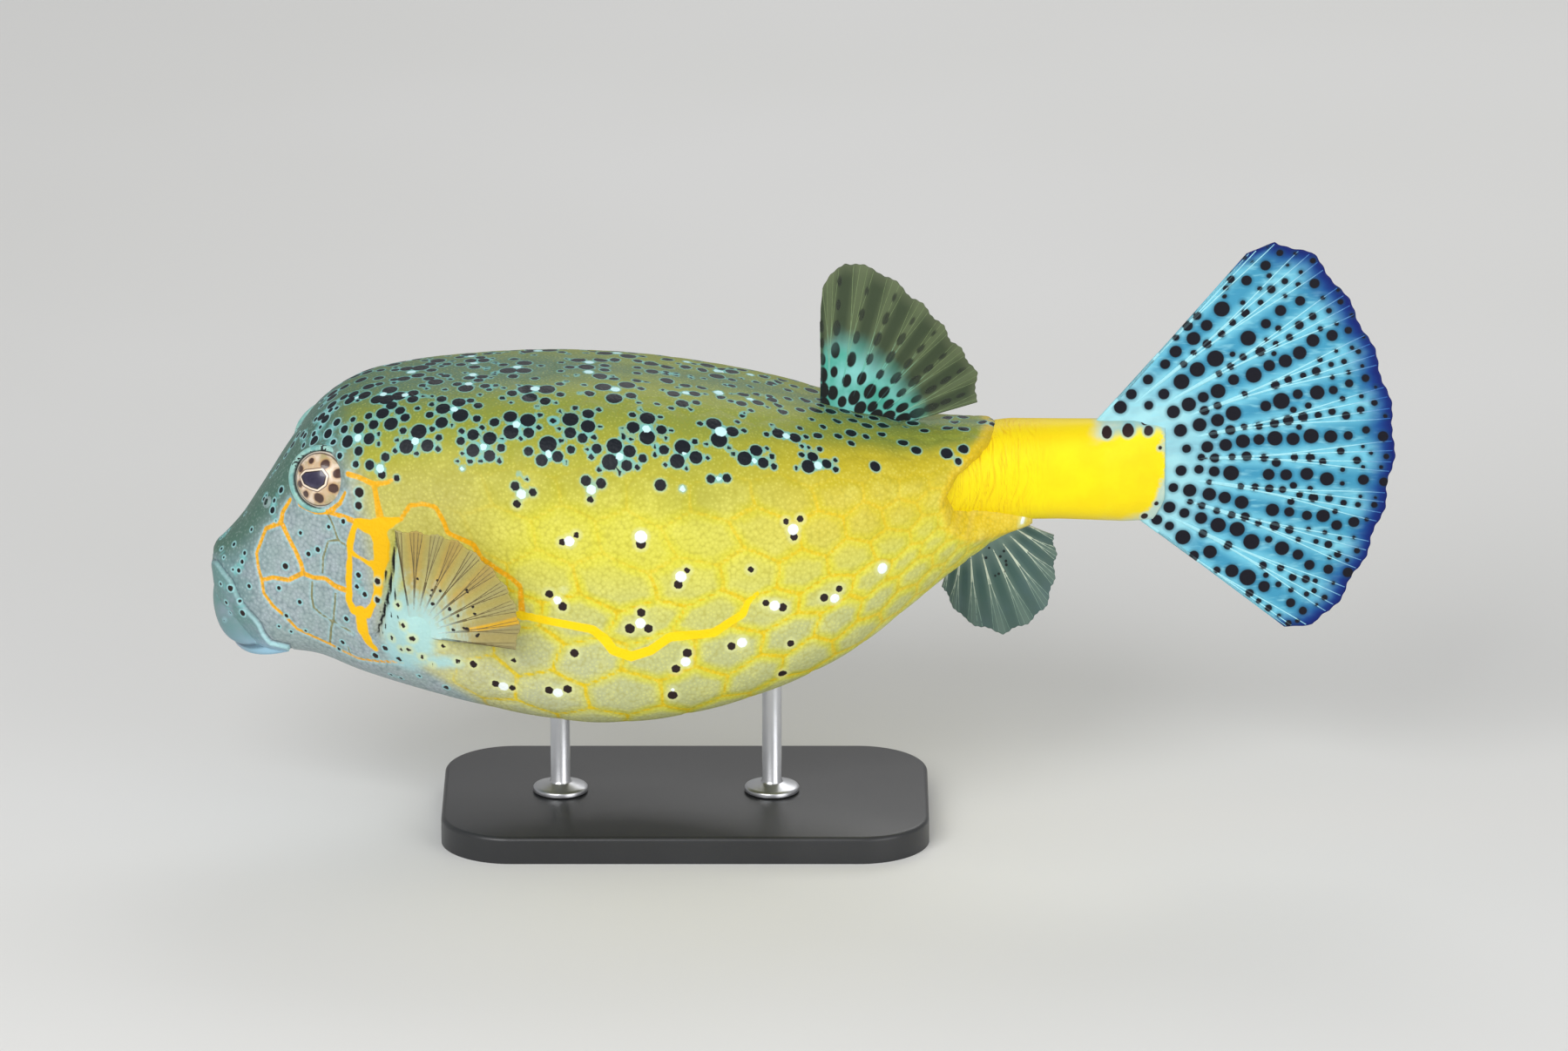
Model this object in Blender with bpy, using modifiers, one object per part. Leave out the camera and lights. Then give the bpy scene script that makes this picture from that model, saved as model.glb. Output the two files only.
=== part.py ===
"""Yellow boxfish, life size, on a plain display stand.

The snout points to -X, the left side to -Y, and the stand's underside is at z = 0.
The body is lofted whole from its sections, plated all round, and parted with thin cuts.
"""

import math

import bmesh
import bpy
import numpy as np
from mathutils import Matrix, Vector

# Driving dimensions, in metres
MM = 0.001
GAP = 0.0003  # air between pieces that touch
LIFT = 0.034  # height of the lowest point of the belly

# Body sections from snout to tail, in millimetres above the belly: place along the body, top,
# underside, height of the widest line, half width, squareness of the upper and lower half
SECTIONS = [
    (-149.6, 38.6, 33.2, 35.9, 3.5, 2.0, 2.0),
    (-148.6, 40.4, 27.0, 34.5, 7.0, 2.0, 2.2),
    (-146.2, 42.6, 21.0, 33.0, 10.0, 2.1, 2.3),
    (-142.3, 47.0, 16.2, 33.0, 12.8, 2.2, 2.4),
    (-137.4, 54.3, 13.4, 35.0, 16.0, 2.4, 2.7),
    (-129.0, 67.5, 13.4, 39.0, 20.0, 2.5, 3.0),
    (-122.0, 76.6, 12.8, 43.0, 23.4, 2.6, 3.2),
    (-111.8, 82.6, 9.9, 45.0, 29.0, 2.8, 3.6),
    (-99.6, 84.8, 7.3, 44.0, 34.0, 3.0, 4.0),
    (-80.6, 85.9, 3.6, 43.0, 38.0, 3.2, 4.5),
    (-49.0, 85.8, 0.0, 41.0, 40.0, 3.2, 5.0),
    (-14.8, 81.3, 5.4, 43.0, 38.0, 3.1, 4.5),
    (13.5, 74.4, 17.6, 48.0, 31.5, 2.9, 4.0),
    (27.0, 71.8, 27.2, 52.0, 25.0, 2.7, 3.6),
    (40.0, 71.6, 36.6, 56.0, 18.5, 2.5, 3.0),
    (49.0, 72.0, 42.2, 58.0, 14.2, 2.4, 2.6),
    (58.0, 72.4, 45.4, 59.5, 11.4, 2.2, 2.4),
]
BODY_RINGS = 170  # sections that the smooth body is read at
BODY_SPOKES = 240  # points round each of them

# Shell plates
PLATE_ROWS = 26  # rows of plates round the body
PLATE_COLUMNS = 16
PLATE_ROW_TURNS = (  # where each row lies, from the middle of the back to that of the belly, in half girths
    0.0, 0.100, 0.205, 0.265, 0.330, 0.410, 0.493, 0.560, 0.625, 0.705, 0.780, 0.850, 0.925, 1.0,
)
PLATE_SLIP = 0.9  # how far the rows near PLATE_SLIP_ROW lie behind, in half plates
PLATE_SLIP_ROW = 6.2
PLATE_SLIP_SPREAD = 1.4
PLATED_FROM = -0.1348
PLATED_TO = 0.0525
PLATE_RAISE = 0.0006
PLATE_CROWN = 0.0004  # how far a plate's middle stands over its edge
GROOVE_SHARE = 0.085  # width of a plate's sloping edge over the plate's size
SNOUT_RING_PLACES = (-0.1385, -0.1425, -0.1462, -0.1486, -0.1495)
TAIL_RING_PLACES = (0.0543, 0.0577)

# Gill opening, along which the head is parted from the shell
GILL_TOP = (-0.1021, 0.0542)
GILL_FOOT = (-0.1078, 0.0262)
GILL_HALF_WIDTH = 0.0010
GILL_DEPTH = 0.0026

# Rear opening of the shell, seen from the side: place along the body and height
OPENING = [
    (49.3, 73.6),
    (43.5, 68.4),
    (37.8, 63.7),
    (34.9, 57.4),
    (36.7, 50.0),
    (41.7, 46.2),
    (48.5, 45.5),
    (58.5, 45.3),
]
OPENING_BLOCK_REACH = 0.13  # how far back and up the block that cuts it goes
OPENING_BLOCK_HALF = 0.06

# Tail stalk sections, in millimetres: place, middle, half height, half width
STALK_SECTIONS = [
    (31.0, 59.0, 12.4, 19.4),
    (35.0, 59.0, 13.0, 18.3),
    (40.0, 59.2, 13.2, 15.4),
    (46.0, 59.4, 13.2, 12.4),
    (53.0, 59.5, 13.1, 10.6),
    (65.0, 59.5, 13.0, 9.6),
    (76.0, 59.3, 13.3, 8.4),
    (84.0, 59.3, 14.0, 6.2),
]
STALK_SQUARENESS = 2.3
STALK_SPOKES = 28
STALK_RINGS = 14
STALK_ARC_FROM = 65.0  # where its rings start to bend to the tail fin's arc, in millimetres

# Eyes
EYE_PLACE = (-0.1211, 0.0633)  # along the body, height
EYE_RADIUS = 0.0080
EYE_DEPTH_RADIUS = 0.0055
EYE_SINK = 0.0023  # how far the ball's middle lies under the skin
EYE_TILT = math.radians(14.0)  # upwards
EYE_TURN = math.radians(24.0)  # forwards
RIM_RADIUS = 0.0085
RIM_THICKNESS = 0.0013
RIM_LIFT = 0.0006

# Nostrils
NOSTRIL_PLACE = (-0.1338, 0.0525)
NOSTRIL_RADIUS = 0.0011
NOSTRIL_RIM = 0.0006

# Lips: each follows an arc from its corners round the front of the muzzle
UPPER_LIP = {
    "corner": -0.1340, "reach": 0.0128, "half_span": 0.0100, "front_height": 0.0238,
    "corner_height": 0.0178, "half_height": 0.0076, "half_thickness": 0.0031, "lean": 0.12,
}
LOWER_LIP = {
    "corner": -0.1304, "reach": 0.0120, "half_span": 0.0098, "front_height": 0.0156,
    "corner_height": 0.0146, "half_height": 0.0032, "half_thickness": 0.0029, "lean": 0.30,
}
LIP_SQUARENESS = 2.7  # of both arcs, seen from above
LIP_STATIONS = 16
LIP_SIDES = 12

# Fins. A reach lists the length of the rays, by the share of the way across them.
FIN_EDGE_HALF = 0.00030  # half thickness of the membrane at its outer edge
FIN_ROOT_EXTRA = 0.0003  # what an upright fin gains on that towards its root
RAY_FADE = 0.7  # share of a ridge's height that it loses on the way to the tip
TAIL_FIN_ORIGIN = (0.0656, 0.0616)
TAIL_FIN_ROOT = 0.0270
TAIL_FIN_RISE = 0.0120  # height of the stalk's top over the fan's origin
TAIL_FIN_SINK = 0.0012
TAIL_FIN_ANGLES = (50.0, -38.0)
TAIL_FIN_RAYS = 10
TAIL_FIN_REACH = [
    (0.0, 0.0715),
    (0.03, 0.0790),
    (0.10, 0.0833),
    (0.5, 0.0850),
    (0.75, 0.0822),
    (0.88, 0.0808),
    (0.96, 0.0788),
    (1.0, 0.0722),
]
TAIL_FIN_WAVE = 0.0016
TAIL_FIN_WAVES = 1.5  # whole waves across the fin
TAIL_FIN_SCALLOP = 0.0012
TAIL_FIN_ROOT_SWELL = 0.0026
TAIL_FIN_SWELL_TO = 0.35  # share of the way out at which the root's swelling ends
TAIL_FIN_SWELL_INSET = 0.1  # how far inside a half wave the first and last rays' swelling starts
TAIL_FIN_RIDGE = 0.00050
MEDIAN_FINS = {
    "dorsal_fin": {
        "origin": (0.0117, 0.0754), "base": (0.0045, 0.0195), "base_height": (0.0745, 0.0715),
        "angles": (112.0, 2.0), "rays": 9,
        "reach": [(0.0, 0.0190), (0.09, 0.0330), (0.18, 0.0387), (0.3, 0.0375), (0.45, 0.0345),
                  (0.7, 0.0322), (0.88, 0.0338), (1.0, 0.0325)],
    },
    "anal_fin": {
        "origin": (0.0460, 0.0437), "base": (0.0385, 0.0535), "base_height": (0.0385, 0.0450),
        "angles": (-124.0, -8.0), "rays": 9,
        "reach": [(0.0, 0.0194), (0.2, 0.0262), (0.38, 0.0290), (0.6, 0.0266), (0.8, 0.0215),
                  (1.0, 0.0180)],
    },
}
MEDIAN_FIN_WAVE = 0.0020
MEDIAN_FIN_WAVES = 1.25
MEDIAN_FIN_WAVE_START = 0.5
MEDIAN_FIN_SCALLOP = 0.0010
MEDIAN_FIN_ROOT_SWELL = 0.0012
MEDIAN_FIN_SWELL_TO = 0.4
SMALL_RIDGE = 0.00040  # height of the rays' ridges on every fin but the tail fin
PECTORAL_ORIGIN = (-0.0981, 0.0258)
PECTORAL_SINK = 0.0030  # depth of the fan's origin under the flank
PECTORAL_ANGLES = (98.0, -8.0)
PECTORAL_SLOPE = math.radians(18.0)  # how steeply the fan rises away from the flank
PECTORAL_RAYS = 10
PECTORAL_ROOT = 0.0015
PECTORAL_LENGTH = 0.0275
PECTORAL_REACH = [(0.0, 0.97), (0.2, 0.96), (0.45, 0.96), (0.7, 1.0), (0.9, 1.01), (1.0, 0.97)]
PECTORAL_SPREAD = 0.95  # distance out from the flank over the length along it
PECTORAL_CUP = 0.25  # share of that distance that the tips fall back by
PECTORAL_RIPPLE = 0.0009
PECTORAL_RIPPLES = 2.0
PECTORAL_SCALLOP = 0.0008
PECTORAL_ROOT_SWELL = 0.0016
PECTORAL_SWELL_TO = 0.45

# Stand
STAND_MIDDLE = -0.030
BASE_HALF_LENGTH = 0.062
BASE_HALF_WIDTH = 0.036
BASE_CORNER = 0.018
BASE_HEIGHT = 0.007
BASE_BEVEL = 0.0012
ROD_RADIUS = 0.0025
ROD_FOOT_RADIUS = 0.0070
ROD_FOOT_HEIGHT = 0.0022
ROD_RISE = 0.012  # how far a rod's blank reaches over the belly's lowest point
ROD_PLACES = {"stand_rod_front": -0.062, "stand_rod_rear": -0.008}


def make_collection(name):
    """A new collection in the scene."""
    collection = bpy.data.collections.new(name)
    bpy.context.scene.collection.children.link(collection)
    return collection


def make_material(name, colour, roughness, metallic=0.0):
    """A Principled material."""
    material = bpy.data.materials.new(name)
    material.use_nodes = True
    shader = material.node_tree.nodes["Principled BSDF"]
    shader.inputs["Base Color"].default_value = (*colour, 1.0)
    shader.inputs["Roughness"].default_value = roughness
    shader.inputs["Metallic"].default_value = metallic
    return material


def object_from_bmesh(bm, name, collection):
    """A new object that holds a bmesh, with its faces turned outwards."""
    bmesh.ops.recalc_face_normals(bm, faces=bm.faces)
    if bm.calc_volume(signed=True) < 0:
        bmesh.ops.reverse_faces(bm, faces=bm.faces)
    mesh = bpy.data.meshes.new(name)
    bm.to_mesh(mesh)
    bm.free()
    obj = bpy.data.objects.new(name, mesh)
    collection.objects.link(obj)
    return obj


def combine(obj, other, operation, solver="MANIFOLD"):
    """Cuts an object with another, or joins them, and keeps the result in its mesh."""
    modifier = obj.modifiers.new(operation.lower(), "BOOLEAN")
    modifier.operation = operation
    modifier.solver = solver
    modifier.object = other
    bpy.context.view_layer.update()
    evaluated = obj.evaluated_get(bpy.context.evaluated_depsgraph_get())
    result = bpy.data.meshes.new_from_object(evaluated)
    obj.modifiers.remove(modifier)
    obj.data = result


def keep_largest(obj):
    """Drops every closed surface but the largest."""
    bm = bmesh.new()
    bm.from_mesh(obj.data)
    unseen = set(bm.faces)
    shells = []
    while unseen:
        shell = set()
        front = [unseen.pop()]
        while front:
            face = front.pop()
            shell.add(face)
            for edge in face.edges:
                for other in edge.link_faces:
                    if other in unseen:
                        unseen.remove(other)
                        front.append(other)
        shells.append(shell)
    shells.sort(key=len)
    loose = [face for shell in shells[:-1] for face in shell]
    bmesh.ops.delete(bm, geom=loose, context="FACES")
    bm.to_mesh(obj.data)
    bm.free()


def smooth_rows(rows, count):
    """Reads rows of numbers at even steps along one smooth curve through them."""
    table = np.array(rows, dtype=float)
    steps = np.linalg.norm(np.diff(table[:, :5], axis=0), axis=1)
    along = np.concatenate([[0.0], np.cumsum(steps)])
    slopes = np.gradient(table, along, axis=0)
    at = np.linspace(0.0, along[-1], count)
    piece = np.clip(np.searchsorted(along, at) - 1, 0, len(rows) - 2)
    length = along[piece + 1] - along[piece]
    part = ((at - along[piece]) / length)[:, None]
    length = length[:, None]
    start = (1 + 2 * part) * (1 - part) ** 2 * table[piece]
    start += part * (1 - part) ** 2 * length * slopes[piece]
    end = part**2 * (3 - 2 * part) * table[piece + 1]
    end += part**2 * (part - 1) * length * slopes[piece + 1]
    return start + end


def body_section(row, count):
    """Evenly spaced points round one section, from the top down the left side."""
    place, top, under, middle, half_width, upper, lower = row
    turn = np.linspace(0.0, 2.0 * math.pi, 6 * count + 1)
    sine = np.sin(turn)
    cosine = np.cos(turn)
    square = np.where(cosine >= 0, upper, lower)
    height = np.where(cosine >= 0, top - middle, middle - under)
    across = -half_width * np.sign(sine) * np.abs(sine) ** (2 / square)
    up = middle + height * np.sign(cosine) * np.abs(cosine) ** (2 / square)
    run = np.concatenate([[0.0], np.cumsum(np.hypot(np.diff(across), np.diff(up)))])
    even = np.linspace(0.0, run[-1], count, endpoint=False)
    points = np.empty((count, 3))
    points[:, 0] = place
    points[:, 1] = np.interp(even, run, across)
    points[:, 2] = np.interp(even, run, up)
    return points * MM


class Body:
    """The smooth body, read at a distance from the snout and a share of the way round."""

    def __init__(self):
        rows = smooth_rows(SECTIONS, BODY_RINGS)
        self.rings = np.array([body_section(row, BODY_SPOKES) for row in rows])
        self.rings[:, :, 2] += LIFT
        steps = np.linalg.norm(np.diff(self.rings, axis=0), axis=2).mean(axis=1)
        around = np.roll(self.rings, -1, axis=1) - self.rings
        girth = np.linalg.norm(around, axis=2).sum(axis=1)
        scaled = steps / (0.5 * (girth[1:] + girth[:-1]))
        self.run = np.concatenate([[0.0], np.cumsum(scaled)])

    def ring_at_place(self, place):
        """The ring number, with a fraction, at a place along X."""
        return np.interp(place, self.rings[:, 0, 0], np.arange(BODY_RINGS))

    def run_at_place(self, place):
        """The run, in girths from the snout, at a place along X."""
        return float(np.interp(place, self.rings[:, 0, 0], self.run))

    def ring_at_run(self, run):
        """The ring number, with a fraction, at a run in girths from the snout."""
        return np.interp(run, self.run, np.arange(BODY_RINGS))

    def point(self, ring, turn):
        """The point of the skin at a ring number and a share of the way round."""
        low = min(int(ring), BODY_RINGS - 2)
        spoke = (turn % 1.0) * BODY_SPOKES
        first = int(spoke) % BODY_SPOKES
        second = (first + 1) % BODY_SPOKES
        up = ring - low
        side = spoke - int(spoke)
        near = self.rings[low, first] * (1 - side) + self.rings[low, second] * side
        far = self.rings[low + 1, first] * (1 - side) + self.rings[low + 1, second] * side
        return Vector(near * (1 - up) + far * up)

    def normal(self, ring, turn):
        """The direction out of the skin."""
        ahead = self.point(min(ring + 0.5, BODY_RINGS - 1), turn)
        behind = self.point(max(ring - 0.5, 0), turn)
        down = self.point(ring, turn + 0.004) - self.point(ring, turn - 0.004)
        return (ahead - behind).cross(down).normalized() * -1.0

    def side_point(self, place, height, side):
        """The point of the skin and its normal at a place and height on one flank."""
        ring = self.ring_at_place(place)
        turns = [0.05 + 0.002 * step for step in range(201)]
        best = min(turns, key=lambda turn: abs(self.point(ring, turn).z - height - LIFT))
        point = self.point(ring, best)
        normal = self.normal(ring, best)
        if side > 0:
            point.y = -point.y
            normal.y = -normal.y
        return point, normal


def plated_body(body, collection):
    """The whole body as one closed mesh, with a raised plate in every cell of a honeycomb."""
    first = body.run_at_place(PLATED_FROM)
    last = body.run_at_place(PLATED_TO)
    halves = 2 * PLATE_COLUMNS + 1
    thirds = 3 * PLATE_ROWS
    bm = bmesh.new()
    corners = {}

    def turn_of(third):
        """A row's share of the way round; the right side mirrors the left."""
        third %= thirds
        share = np.interp(min(third, thirds - third) / 3, range(len(PLATE_ROW_TURNS)), PLATE_ROW_TURNS) / 2
        return float(share if third <= thirds / 2 else 1 - share)

    def ring_of(half, third):
        third %= thirds
        row = min(third, thirds - third) / 3
        slip = PLATE_SLIP * math.exp(-(((row - PLATE_SLIP_ROW) / PLATE_SLIP_SPREAD) ** 2))
        slip *= math.sin(math.pi * half / halves)
        return body.ring_at_run(first + (last - first) * (half + slip) / halves)

    def corner(half, third):
        key = (half, third % thirds)
        if key not in corners:
            corners[key] = bm.verts.new(body.point(ring_of(half, third), turn_of(third)))
        return corners[key]

    plates = []
    for row in range(PLATE_ROWS):
        for column in range(PLATE_COLUMNS):
            half = 2 * column + 1 + row % 2
            third = 3 * row
            loop = [(-1, -1), (0, -2), (1, -1), (1, 1), (0, 2), (-1, 1)]
            face = bm.faces.new([corner(half + i, third + j) for i, j in loop])
            plates.append((face, half, third))

    def end_rings(edge, places):
        """Rings with the same points as the zigzag edge, out to a pole."""
        before = edge
        for place in places:
            ring = body.ring_at_place(place)
            row = [(bm.verts.new(body.point(ring, turn_of(third))), third) for _, third in edge]
            for index in range(len(edge)):
                following = (index + 1) % len(edge)
                bm.faces.new([before[index][0], before[following][0], row[following][0], row[index][0]])
            before = row
        cap = bm.faces.new([vertex for vertex, _ in before])
        bmesh.ops.poke(bm, faces=[cap])

    front = []
    rear = []
    for row in range(0, PLATE_ROWS, 2):
        third = 3 * row
        for half, step in ((0, -1), (0, 1), (1, 2), (1, 4)):
            front.append((corner(half, third + step), third + step))
        for half, step in ((-1, -1), (-1, 1), (0, 2), (0, 4)):
            rear.append((corner(halves + half, third + step), third + step))
    end_rings(front, SNOUT_RING_PLACES)
    end_rings(rear, TAIL_RING_PLACES)

    bmesh.ops.recalc_face_normals(bm, faces=bm.faces)
    for face, half, third in plates:
        edge = GROOVE_SHARE * math.sqrt(face.calc_area())
        bmesh.ops.inset_individual(bm, faces=[face], thickness=edge, depth=PLATE_RAISE)
        poked = bmesh.ops.poke(bm, faces=[face])
        ring = ring_of(half, third)
        raised = body.normal(ring, turn_of(third)) * (PLATE_RAISE + PLATE_CROWN)
        poked["verts"][0].co = body.point(ring, turn_of(third)) + raised
    return object_from_bmesh(bm, "body", collection)


def inflated(obj, name, collection, distance=GAP):
    """A copy grown outwards, which cuts its neighbours clear."""
    bm = bmesh.new()
    bm.from_mesh(obj.data)
    bm.normal_update()
    moves = [vertex.normal * distance * vertex.calc_shell_factor() for vertex in bm.verts]
    for vertex, move in zip(bm.verts, moves):
        vertex.co += move
    return object_from_bmesh(bm, name, collection)


def half_space(name, collection, point, normal):
    """A block that fills everything in front of a plane."""
    size = 0.5
    turn = normal.to_track_quat("Z", "Y").to_matrix().to_4x4()
    bm = bmesh.new()
    bmesh.ops.create_cube(bm, size=size)
    bm.transform(Matrix.Translation(point + normal * size / 2) @ turn)
    return object_from_bmesh(bm, name, collection)


def parted(obj, name, collection, cutters, point, normal):
    """The part of an object behind a plane."""
    part = bpy.data.objects.new(name, obj.data.copy())
    collection.objects.link(part)
    combine(part, half_space("half_space", cutters, point, normal), "DIFFERENCE")
    keep_largest(part)
    return part


def ellipsoid(name, collection, middle, radii, turn, segments=18, rings=10):
    """A ball scaled to three radii, then turned."""
    bm = bmesh.new()
    bmesh.ops.create_uvsphere(bm, u_segments=segments, v_segments=rings, radius=1.0)
    scale = Matrix.Diagonal((*radii, 1.0))
    bm.transform(Matrix.Translation(middle) @ turn @ scale)
    return object_from_bmesh(bm, name, collection)


def ring_torus(name, collection, middle, turn, radius, thickness, segments=20, sides=6):
    """A round ring about the turned Z axis."""
    bm = bmesh.new()
    placed = Matrix.Translation(middle) @ turn
    loops = []
    for step in range(segments):
        spin = Matrix.Rotation(2 * math.pi * step / segments, 4, "Z")
        loop = []
        for side in range(sides):
            angle = 2 * math.pi * side / sides
            reach = radius + thickness * math.cos(angle)
            point = Vector((reach, 0.0, thickness * math.sin(angle)))
            loop.append(bm.verts.new(placed @ spin @ point))
        loops.append(loop)
    for step in range(segments):
        here = loops[step]
        following = loops[(step + 1) % segments]
        for side in range(sides):
            after = (side + 1) % sides
            bm.faces.new([here[side], here[after], following[after], following[side]])
    return object_from_bmesh(bm, name, collection)


def eye_frame(body, side):
    """The eye's middle and the turn that carries +Z to the way it looks."""
    place, height = EYE_PLACE
    point, _ = body.side_point(place, height, side)
    look = Vector((
        -math.sin(EYE_TURN),
        side * math.cos(EYE_TURN) * math.cos(EYE_TILT),
        math.sin(EYE_TILT),
    )).normalized()
    turn = look.to_track_quat("Z", "Y").to_matrix().to_4x4()
    return point - look * EYE_SINK, look, turn


def build_eye(body, name, side, nodes, cutters, whole):
    """An eyeball, with its socket and a raised rim on the body."""
    middle, look, turn = eye_frame(body, side)
    rim_middle = middle + look * (EYE_SINK + RIM_LIFT)
    rim = ring_torus("rim", cutters, rim_middle, turn, RIM_RADIUS, RIM_THICKNESS)
    combine(whole, rim, "UNION")
    radii = (EYE_RADIUS, EYE_RADIUS, EYE_DEPTH_RADIUS)
    socket_radii = [radius + GAP for radius in radii]
    socket = ellipsoid("socket", cutters, middle, socket_radii, turn)
    combine(whole, socket, "DIFFERENCE")
    return ellipsoid(name, nodes, middle, radii, turn)


def cut_nostril(body, side, cutters, whole):
    """A small rimmed pit ahead of the eye."""
    place, height = NOSTRIL_PLACE
    point, normal = body.side_point(place, height, side)
    turn = normal.to_track_quat("Z", "Y").to_matrix().to_4x4()
    raised = point + normal * PLATE_RAISE
    rim = ring_torus(
        "nostril_rim", cutters, raised, turn, NOSTRIL_RADIUS + NOSTRIL_RIM, NOSTRIL_RIM, 12, 6
    )
    combine(whole, rim, "UNION")
    radii = (NOSTRIL_RADIUS, NOSTRIL_RADIUS, 2 * NOSTRIL_RADIUS)
    pit = ellipsoid("nostril_pit", cutters, raised, radii, turn, 10, 6)
    combine(whole, pit, "DIFFERENCE")


def gill_line():
    """The gill opening's middle and its direction down the flank."""
    top = Vector((GILL_TOP[0], 0.0, GILL_TOP[1] + LIFT))
    foot = Vector((GILL_FOOT[0], 0.0, GILL_FOOT[1] + LIFT))
    return (top + foot) / 2, foot - top


def cut_gill(body, side, cutters, whole):
    """The slit of the gill opening on one flank."""
    middle, down = gill_line()
    point, _ = body.side_point(middle.x, middle.z - LIFT, side)
    lean = math.atan2(-down.x, -down.z)
    turn = Matrix.Rotation(lean, 4, "Y")
    radii = (GILL_HALF_WIDTH, GILL_DEPTH + PLATE_RAISE, down.length / 2)
    slit = ellipsoid("gill_slit", cutters, point, radii, turn, 12, 12)
    combine(whole, slit, "DIFFERENCE")


def opening_prism(name, collection, inset):
    """The space behind the shell's rear opening, as wide as the fish, drawn in by an inset."""
    line = np.array(OPENING) * MM
    ways = np.diff(line, axis=0)
    ways /= np.linalg.norm(ways, axis=1)[:, None]
    inward = np.stack([-ways[:, 1], ways[:, 0]], axis=1)
    inward = np.concatenate([inward[:1], inward[1:] + inward[:-1], inward[-1:]])
    inward /= np.linalg.norm(inward, axis=1)[:, None]
    line = line + inward * inset
    line[:, 1] += LIFT
    far = OPENING_BLOCK_REACH
    high = LIFT + OPENING_BLOCK_REACH
    outline = [(line[0, 0], high)] + [tuple(point) for point in line]
    outline += [(far, line[-1, 1]), (far, high)]
    bm = bmesh.new()
    face = bm.faces.new([bm.verts.new((x, -OPENING_BLOCK_HALF, z)) for x, z in outline])
    grown = bmesh.ops.extrude_face_region(bm, geom=[face])
    moved = [item for item in grown["geom"] if isinstance(item, bmesh.types.BMVert)]
    bmesh.ops.translate(bm, verts=moved, vec=(0.0, 2 * OPENING_BLOCK_HALF, 0.0))
    return object_from_bmesh(bm, name, collection)


def build_stalk(name, collection, prism):
    """The tail stalk, ending in the arc that the tail fin grows from."""
    table = np.array(STALK_SECTIONS)
    places = np.linspace(table[0, 0], table[-1, 0], STALK_RINGS)
    origin_x, origin_z = TAIL_FIN_ORIGIN
    bm = bmesh.new()
    rings = []
    for step, place in enumerate(places):
        middle, half_height, half_width = (np.interp(place, table[:, 0], table[:, i]) for i in (1, 2, 3))
        toward_end = max(0.0, (place - STALK_ARC_FROM) / (table[-1, 0] - STALK_ARC_FROM))
        ring = []
        for spoke in range(STALK_SPOKES):
            angle = 2 * math.pi * spoke / STALK_SPOKES
            sine, cosine = math.sin(angle), math.cos(angle)
            power = 2 / STALK_SQUARENESS
            y = -half_width * math.copysign(abs(sine) ** power, sine) * MM
            z = (middle + half_height * math.copysign(abs(cosine) ** power, cosine)) * MM
            radius = TAIL_FIN_ROOT - GAP
            arc = origin_x + math.sqrt(radius**2 - (z - origin_z) ** 2)
            x = place * MM * (1 - toward_end) + arc * toward_end
            ring.append(bm.verts.new((x, y, z + LIFT)))
        rings.append(ring)
    for near, far in zip(rings, rings[1:]):
        for spoke in range(STALK_SPOKES):
            after = (spoke + 1) % STALK_SPOKES
            bm.faces.new([near[spoke], near[after], far[after], far[spoke]])
    for ring in (rings[0], rings[-1]):
        half = STALK_SPOKES // 2
        for spoke in range(half):
            mirror = -spoke % STALK_SPOKES
            below = STALK_SPOKES - spoke - 1
            loop = [ring[spoke], ring[spoke + 1], ring[below], ring[mirror]]
            bm.faces.new(list(dict.fromkeys(loop)))
    stalk = object_from_bmesh(bm, name, collection)
    combine(stalk, prism, "INTERSECT")
    keep_largest(stalk)
    return stalk


def fin_solid(name, collection, rays, per_ray, rows, middle_surface, half_thickness):
    """A fin with its rays raised on both faces; both faces are split into triangles alike.

    middle_surface(share, out) gives a point for a share of the way across the rays and out
    along them; half_thickness(share, out, ridge) gives the half thickness there.
    """
    columns = per_ray * (rays - 1)
    points = []
    for column in range(columns + 1):
        points.append([middle_surface(column / columns, row / rows) for row in range(rows + 1)])
    left, right = [], []
    bm = bmesh.new()
    for column in range(columns + 1):
        left_column, right_column = [], []
        for row in range(rows + 1):
            west = points[max(column - 1, 0)][row]
            east = points[min(column + 1, columns)][row]
            inner = points[column][max(row - 1, 0)]
            outer = points[column][min(row + 1, rows)]
            normal = (east - west).cross(outer - inner).normalized()
            half = half_thickness(column / columns, row / rows, column % per_ray == 0)
            left_column.append(bm.verts.new(points[column][row] + normal * half))
            right_column.append(bm.verts.new(points[column][row] - normal * half))
        left.append(left_column)
        right.append(right_column)

    def triangle(a, b, c):
        bm.faces.new((a, b, c))

    for column in range(columns):
        for row in range(rows):
            for grid in (left, right):
                a, b = grid[column][row], grid[column + 1][row]
                c, d = grid[column + 1][row + 1], grid[column][row + 1]
                triangle(a, b, c)
                triangle(a, c, d)
    for column in range(columns):
        for row in (0, rows):
            a, b = left[column][row], left[column + 1][row]
            c, d = right[column + 1][row], right[column][row]
            triangle(a, b, c)
            triangle(a, c, d)
    for row in range(rows):
        for column in (0, columns):
            a, b = left[column][row], left[column][row + 1]
            c, d = right[column][row + 1], right[column][row]
            triangle(a, b, c)
            triangle(a, c, d)
    return object_from_bmesh(bm, name, collection)


def between(pairs, value):
    """Reads a value off straight lines between pairs of place and value."""
    places = [place for place, _ in pairs]
    amounts = [amount for _, amount in pairs]
    return float(np.interp(value, places, amounts))


def scallop(share, rays, depth):
    """How far the membrane draws back from its rays' tips, between one ray and the next."""
    across = share * (rays - 1) % 1.0
    return depth * math.sin(math.pi * across) ** 2


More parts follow.
